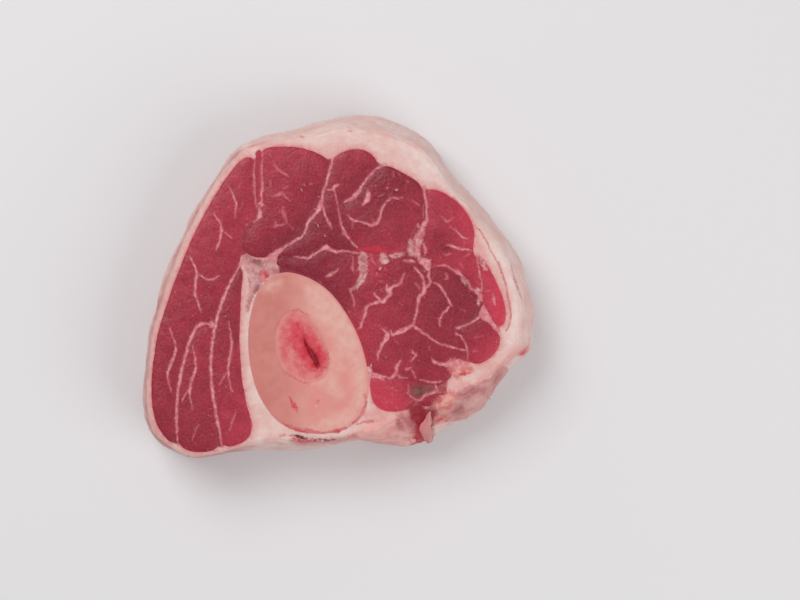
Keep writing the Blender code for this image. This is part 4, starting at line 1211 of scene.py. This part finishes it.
# Looks of the markings: two mixed colours with the size of their patches, strength, reach, softness and
# raggedness
LOOKS = {
    "cream": ((223, 178, 166), (221, 166, 155), 3.0, 0.85, 0.0, 2.6, 3.0),
    "blush": ((222, 128, 126), (218, 138, 133), 3.0, 0.60, 0.0, 1.8, 3.5),
    "membrane": ((232, 167, 160), (218, 139, 134), 4.0, 0.90, 0.3, 1.2, 2.5),
    "flap": ((204, 140, 136), (184, 114, 112), 4.0, 0.94, 0.4, 0.45, 1.2),
    "white": ((234, 214, 209), (229, 202, 196), 3.0, 0.75, 0.0, 1.8, 3.0),
    "fascia": ((204, 138, 137), (168, 94, 98), 3.0, 0.88, 0.0, 0.5, 2.0),
    "film": ((226, 174, 169), (214, 156, 152), 3.0, 0.80, 0.2, 0.9, 2.0),
    # Painted shade beside the notch, painted shadow under the bone, and dull red patches on the flap
    "dull_red_and_shade": ((176, 90, 96), (170, 84, 90), 4.0, 0.80, 0.2, 1.2, 2.0),
    "ochre": ((226, 156, 142), (208, 108, 106), 2.6, 0.88, 0.4, 0.8, 3.0),
    "grey": ((222, 178, 174), (188, 116, 119), 1.5, 0.80, 0.0, 0.4, 1.8),
    "soft": ((210, 118, 128), (190, 92, 104), 1.5, 0.75, 0.05, 0.36, 0.8),
    "pale_border": ((192, 88, 98), (174, 72, 83), 1.1, 0.55, 0.25, 0.40, 1.0),
    "pale": ((230, 158, 163), (206, 112, 123), 1.5, 0.90, -0.02, 0.32, 0.6),
    "vein": ((194, 86, 94), (204, 110, 114), 1.1, 0.85, 0.08, 0.30, 0.9),
    "blood": ((208, 36, 62), (190, 56, 76), 1.1, 0.85, 0.1, 0.45, 2.0),
    "dusk": ((112, 46, 54), (132, 66, 72), 2.0, 0.85, 0.0, 0.8, 1.2),
    "stain": ((204, 18, 44), (204, 40, 60), 1.6, 0.98, -0.4, 0.8, 2.0),
    # Dark red of clots, and painted shadow in the slit under the bone
    "clot": ((96, 18, 28), (126, 32, 42), 1.1, 0.90, 0.0, 0.35, 1.5),
    "speck": ((230, 184, 180), (222, 166, 164), 1.1, 0.80, -0.10, 0.12, 0.5),
}


def add_markings(tree, base, names, **changes):
    """Lay the named markings over a base colour, one after another."""
    fade = remap(tree, noise(tree, 3.4), 0.35, 0.60, 0.70, 1.0)
    mottles = {}
    for name in names:
        first, second, size, strength, reach, softness, raggedness = (LOOKS | changes)[name]
        if size not in mottles:
            mottles[size] = remap(tree, noise(tree, size, detail=4.0, roughness=0.6), 0.38, 0.62)
        distance = attribute(tree, SOURCES.get(name, name))
        mask = use_group(tree, "soft_line", {
            "Distance": distance, "Reach": reach, "Softness": softness, "Raggedness": raggedness,
        })
        share = maths(tree, "MULTIPLY", maths(tree, "MULTIPLY", mask, strength), fade)
        base = blend_colours(tree, share, base, blend_colours(tree, mottles[size], first, second))
    return base


# Materials

LEAN_BRIGHT = (219, 64, 86)
LEAN_DEEP = (126, 24, 43)
STREAK_PINK = (206, 118, 120)


def lean_colour(tree):
    """Raw lean: its stored shade with soft patches, paler bundles and fine flecks."""
    cloud = maths(tree, "SUBTRACT", noise(tree, 4.5, detail=3.0), 0.5)
    fine = maths(tree, "SUBTRACT", noise(tree, 0.7, detail=4.0, roughness=0.7), 0.5)
    shade = maths(tree, "MULTIPLY_ADD", cloud, 0.55, attribute(tree, "shade"))
    grain = maths(tree, "MULTIPLY_ADD", attribute(tree, "pitted"), 0.9, 0.75)
    shade = maths(tree, "MULTIPLY_ADD", fine, grain, shade)
    base = blend_colours(tree, remap(tree, shade, -0.6, 1.0), LEAN_BRIGHT, LEAN_DEEP)
    bundles = cells(tree, 1.0 / (1.3 * MM), "DISTANCE_TO_EDGE")
    lighter = maths(tree, "MULTIPLY", remap(tree, bundles, 0.14, 0.0), 0.085)
    flecks = use_group(tree, "flecks", {"Size": 1.2, "Amount": 0.38})
    lighter = maths(tree, "MULTIPLY_ADD", flecks, 0.45, lighter)
    coarse = use_group(tree, "flecks", {"Size": 1.5, "Amount": 0.6})
    coarse = maths(tree, "MULTIPLY", coarse, attribute(tree, "pitted"))
    lighter = maths(tree, "MULTIPLY_ADD", coarse, 0.42, lighter)
    return blend_colours(tree, lighter, base, STREAK_PINK)


# The markings that each material shows, in the order in which they are laid over one another
LEAN_MARKINGS = ("ochre", "grey", "soft", "pale_border", "pale", "blood", "clot", "speck")
FAT_MARKINGS = (
    "white", "membrane", "flap", "film", "blush", "dull_red_and_shade", "ochre", "fascia", "grey", "soft", "pale_border",
    "pale", "vein", "dusk", "stain", "blood", "clot", "speck",
)
BONE_PATCHES = ("cream", "blush")
BONE_LINES = ("vein", "blood", "clot", "speck")
MARROW_MARKINGS = ("vein", "blood", "halo", "clot", "speck")
TENDON_MARKINGS = ("pale_border", "pale")


def lean_material():
    """Raw lean with its marbling."""
    material, tree, shader = start_material("raw_lean", 0.36, 0.08, (1.0, 0.25, 0.20))
    base = add_markings(tree, lean_colour(tree), LEAN_MARKINGS)
    tree.links.new(remap(tree, noise(tree, 3.0), 0.3, 0.7, 0.30, 0.46), shader.inputs["Roughness"])
    finish_shader(tree, shader, base, 1.0, 0.5, 0.14)
    return material


def fat_material():
    """Outer fat, and the web between the muscles where fat and flesh meet."""
    material, tree, shader = start_material("fat", 0.42, 0.20, (1.0, 0.55, 0.40))
    base = mottled(tree, 7.0, 0.35, 0.72, (228, 202, 195), (222, 178, 170))
    streaks = use_group(tree, "drawn_streaks", {"Layer": attribute(tree, "layer"), "Size": 1.1})
    base = blend_colours(tree, maths(tree, "MULTIPLY", streaks, 0.34), base, (218, 160, 152))
    fine = remap(tree, noise(tree, 1.2, detail=5.0, roughness=0.7), 0.40, 0.66)
    base = blend_colours(tree, maths(tree, "MULTIPLY", fine, 0.16), base, (214, 148, 143))
    uneven = maths(tree, "SUBTRACT", noise(tree, 1.6, detail=4.0, roughness=0.65), 0.5)
    gap = maths(tree, "MULTIPLY_ADD", uneven, 3.0, attribute(tree, "lean_gap"))
    base = blend_colours(tree, remap(tree, gap, 0.0, 3.2, 0.66, 0.0), base, (217, 148, 143))
    base = blend_colours(tree, remap(tree, gap, 0.0, 0.8, 0.60, 0.0), base, (206, 108, 112))
    base = blend_colours(tree, attribute(tree, "skin"), base, (176, 88, 90))
    base = blend_colours(tree, attribute(tree, "flesh"), base, lean_colour(tree))
    sinew = ((216, 162, 160), (182, 110, 114), 1.6, 0.85, 0.0, 0.5, 2.0)
    base = add_markings(tree, base, FAT_MARKINGS, grey=sinew)
    wet = remap(tree, noise(tree, 1.6, detail=3.0), 0.40, 0.62)
    foot = blend_colours(tree, wet, (200, 36, 57), (170, 28, 45))
    cleft = blend_colours(tree, attribute(tree, "cleft_foot"), (150, 36, 50), foot)
    base = blend_colours(tree, attribute(tree, "cleft"), base, cleft)
    finish_shader(tree, shader, base, 1.0, 0.2, 0.14)
    return material


def bone_material():
    """Sawn bone: peach pink, browner on one side, cream along its hard edge, with red streaks."""
    material, tree, shader = start_material("sawn_bone", 0.42, 0.12, (1.0, 0.45, 0.35))
    base = mottled(tree, 6.0, 0.35, 0.65, (222, 158, 147), (218, 144, 135))
    uneven = remap(tree, noise(tree, 4.5), 0.3, 0.7, 0.7, 1.0)
    browner = maths(tree, "MULTIPLY", attribute(tree, "browner"), uneven)
    base = blend_colours(tree, browner, base, (197, 120, 110))
    base = add_markings(tree, base, BONE_PATCHES)
    fine = remap(tree, noise(tree, 1.4, detail=4.0, roughness=0.65), 0.42, 0.70)
    base = blend_colours(tree, maths(tree, "MULTIPLY", fine, 0.16), base, (212, 122, 116))
    skin = remap(tree, attribute(tree, "edge"), 0.0, 1.0, 0.55, 0.0)
    base = blend_colours(tree, skin, base, (216, 126, 124))
    base = add_markings(tree, base, BONE_LINES)
    finish_shader(tree, shader, base, 0.7, 0.2, 0.06)
    return material


def marrow_material():
    """Marrow: red and wet, darkest in its core, paling into the bone round it."""
    material, tree, shader = start_material("marrow", 0.32, 0.10, (1.0, 0.3, 0.2))
    base = mottled(tree, 2.4, 0.34, 0.66, (218, 128, 124), (208, 96, 101))
    outer = remap(tree, attribute(tree, "edge"), 0.0, 2.2, 0.72, 0.0)
    base = blend_colours(tree, outer, base, (216, 144, 135))
    base = add_markings(
        tree, base, MARROW_MARKINGS,
        blood=((203, 38, 60), (210, 72, 86), 2.8, 0.95, -0.2, 1.4, 4.0),
        halo=((192, 30, 52), (172, 26, 44), 1.1, 0.80, 0.7, 1.0, 3.0),
        clot=((100, 20, 30), (140, 34, 44), 1.1, 0.92, -0.30, 0.35, 1.8),
    )
    finish_shader(tree, shader, base, 1.0, 0.2, 0.12)
    return material


def tendon_material():
    """Tendon: grey-brown and half clear, redder towards its thin end."""
    material, tree, shader = start_material("tendon", 0.26, 0.15, (1.0, 0.6, 0.5))
    base = mottled(tree, 1.8, 0.32, 0.68, (108, 56, 55), (138, 80, 76))
    base = blend_colours(tree, attribute(tree, "thin_end"), base, (158, 80, 84))
    outer = remap(tree, attribute(tree, "edge"), 0.0, 0.9, 0.6, 0.0)
    base = blend_colours(tree, outer, base, (160, 66, 74))
    base = add_markings(tree, base, TENDON_MARKINGS)
    finish_shader(tree, shader, base, 0.6, 0.2, 0.06)
    return material


def curl_material():
    """Curl of membrane: pink-grey and wet, paler along its upper edge."""
    material, tree, shader = start_material("curl", 0.34, 0.2, (1.0, 0.5, 0.4))
    base = mottled(tree, 1.3, 0.32, 0.68, (222, 132, 130), (198, 100, 102))
    base = blend_colours(tree, attribute(tree, "upper_edge"), base, (226, 142, 139))
    base = blend_colours(tree, attribute(tree, "inner_side"), base, (202, 138, 134))
    finish_shader(tree, shader, base, 1.0, 0.2, 0.10)
    return material


# Build

outlines = {name: natural_outline(name, 0.5, CLOSING) for name in LEAN}
outlines["tendon"] = natural_outline("tendon", 0.0, CLOSING)
outlines["shin_bone"] = natural_outline("shin_bone", 0.5, BONE_CLOSING, raggedness=0.03)
outlines["marrow"] = natural_outline("marrow", 0.0, 0.15, raggedness=0.10)
notch = even_ring(smooth_track(NOTCH_OUTLINE, closed=True), 0.6)

body = whole_body()
wall = points_of(body)
edge = even_ring(wall[np.abs(wall[:, 2] - BODY_HIGH) < 0.01][:, :2], 0.8)
low, high = wall.min(0)[:2] - 2.0, wall.max(0)[:2] + 2.0
upper_block = trimming_block(low, high, FACE_STEP, lambda xy: face_height(xy, outlines, edge), False)
boolean(body, upper_block, "DIFFERENCE")
boolean(body, trimming_block(low, high, UNDERSIDE_STEP, underside_height, True), "DIFFERENCE")


def cut_out(name, outline):
    """The part of the body that stands on an outline."""
    piece = new_piece(name, body.data.copy())
    boolean(piece, column(outline), "INTERSECT")
    return piece


def write_edge(piece, name):
    """Store how far inside its outline each point of a piece lies."""
    write_attribute(piece, "edge", depth_inside(points_of(piece)[:, :2], outlines[name]))


lean = lean_material()
for name in LEAN:
    piece = cut_out(name + "_meat", outlines[name])
    mark(piece, LEAN_MARKINGS)
    face = points_of(piece)[:, :2]
    write_attribute(piece, "shade", shade_of(name, face))
    write_attribute(piece, "pitted", pitting(face))
    finish_piece(piece, lean, name)

bone = cut_out("bone_round", outlines["shin_bone"])
boolean(bone, column(outlines["marrow"], CORE_SPAN), "DIFFERENCE")
mark(bone, BONE_PATCHES + BONE_LINES)
write_attribute(bone, "browner", smooth_step((-4.0 - points_of(bone)[:, 0]) / 18.0))
write_edge(bone, "shin_bone")
finish_piece(bone, bone_material(), "shin_bone")

marrow = cut_out("marrow_core", outlines["marrow"])
mark(marrow, MARROW_MARKINGS)
write_edge(marrow, "marrow")
finish_piece(marrow, marrow_material(), "marrow")

tendon = cut_out("tendon_spot", outlines["tendon"])
mark(tendon, TENDON_MARKINGS)
write_attribute(tendon, "thin_end", np.clip((points_of(tendon)[:, 0] - 29.5) / 4.0, 0.0, 1.0))
write_edge(tendon, "tendon")
finish_piece(tendon, tendon_material(), "tendon")

boolean(body, notch_cutter(), "DIFFERENCE")
for name, outline in outlines.items():
    if name != "marrow":
        boolean(body, column(outline), "DIFFERENCE")
body.name = "outer_fat"
ground = surface_of(body.data)
flakes = [stacked_piece("fray", ribbon(stations, thickness, ground)) for stations, thickness in FRAYS]
own_points = len(body.data.vertices)
select_only(body)
for flake in flakes:
    flake.select_set(True)
bpy.ops.object.join()

place = points_of(body)
face = place[:, :2]
mark(body, FAT_MARKINGS)
away = {name: -depth_inside(face, outline) for name, outline in outlines.items() if name != "marrow"}
away["shin_bone"] += 4.0 * (face[:, 1] < -27.0)
gaps = np.sort(list(away.values()), axis=0)
lean_gap = np.min([away[name] for name in LEAN], axis=0)
edge_depth = depth_inside(face, edge)
thin = np.clip((2.7 - gaps[0] - gaps[1]) / 0.7, 0.0, 1.0)
filled = distance_to(face, [], FLESH_AREAS)
shades = np.array([shade_of(name, face) for name in LEAN])
nearest = np.argmin([away[name] for name in LEAN], axis=0)
write_attribute(body, "shade", shades[nearest, np.arange(len(face))])
write_attribute(body, "pitted", pitting(face))
inside_notch = depth_inside(face, notch) + 0.8 * patches(place, 2.2, 98)
cleft = smooth_step((FAT_LEVEL - 0.5 - place[:, 2]) / 1.4) * smooth_step(1.0 + inside_notch / 2.4)
cleft *= smooth_step((place[:, 2] - notch_floor(NOTCH_END) + 2.4 + 2.4 * patches(place, 3.0, 95)) / 6.0)
cleft[own_points:] *= 0.25
write_attribute(body, "cleft", cleft)
write_attribute(body, "cleft_foot", np.clip((-44.0 - face[:, 1]) / 6.0, 0.0, 1.0))
write_attribute(body, "flesh", np.maximum(thin, np.clip(0.5 - filled / 0.4, 0.0, 1.0)))
write_attribute(body, "lean_gap", lean_gap)
write_attribute(body, "layer", np.clip(edge_depth, -12.0, 30.0) - 0.8 * (FAT_LEVEL - place[:, 2]))
on_wall = (0.62 + 0.3 * patches(place, 6.0, 97)) * np.clip((FAT_LEVEL - 0.8 - place[:, 2]) / 1.5, 0.0, 1.0)
by_lean = smooth_step((5.0 - lean_gap + 1.2 * patches(place, 2.4, 99)) / 3.0)
in_front = smooth_step((-22.0 - face[:, 0]) / 12.0)
write_attribute(body, "skin", on_wall * by_lean * in_front)
finish_piece(body, fat_material(), "fat_and_silverskin")

curl = stacked_piece("curled_membrane", curl_rings())
height = points_of(curl)[:, 2]
write_attribute(curl, "upper_edge", np.clip((height - 16.0) / 8.0, 0.0, 1.0))
write_attribute(curl, "inner_side", smooth_step((points_of(curl)[:, 0] - 29.6) / 1.6))
finish_piece(curl, curl_material(), "membrane_curl")

# Floor, light and camera

bpy.ops.mesh.primitive_plane_add(size=4.0, location=(0.0, 0.0, 0.0))
floor = bpy.context.object
floor.name = "floor"
material = bpy.data.materials.new("floor_pale")
material.use_nodes = True
shader = material.node_tree.nodes["Principled BSDF"]
shader.inputs["Base Color"].default_value = linear(226, 223, 224)
shader.inputs["Roughness"].default_value = 0.7
floor.data.materials.append(material)


def softbox(name, place, size, power):
    """A square soft light that faces the slice."""
    light = bpy.data.lights.new(name, "AREA")
    light.shape = "SQUARE"
    light.size = size
    light.energy = power
    item = bpy.data.objects.new(name, light)
    item.location = place
    item.rotation_euler = (-Vector(place)).to_track_quat("-Z", "Y").to_euler()
    bpy.context.scene.collection.objects.link(item)


softbox("key_light", (-0.45, 0.55, 0.95), 0.7, 7.0)
softbox("fill_light", (0.7, -0.45, 0.7), 0.8, 4.2)
world = bpy.context.scene.world or bpy.data.worlds.new("studio")
bpy.context.scene.world = world
world.use_nodes = True
background = world.node_tree.nodes["Background"]
background.inputs["Color"].default_value = (0.97, 0.98, 1.0, 1.0)
background.inputs["Strength"].default_value = 0.45
bpy.context.scene.view_settings.view_transform = "Standard"

# The view: straight down, with 3 pixels to each millimetre of the cut face
PIXELS_PER_MM = 3.0
IMAGE_WIDTH = 800
VIEW_CENTRE = (21.0, -4.667)
LENS, SENSOR = 100.0, 36.0
camera_data = bpy.data.cameras.new("camera")
camera_data.lens = LENS
camera_data.sensor_width = SENSOR
camera = bpy.data.objects.new("camera", camera_data)
distance = IMAGE_WIDTH / PIXELS_PER_MM * LENS / SENSOR
camera.location = (VIEW_CENTRE[0] * MM, VIEW_CENTRE[1] * MM, (distance + FAT_LEVEL) * MM)
bpy.context.scene.collection.objects.link(camera)
bpy.context.scene.camera = camera

bpy.context.view_layer.update()
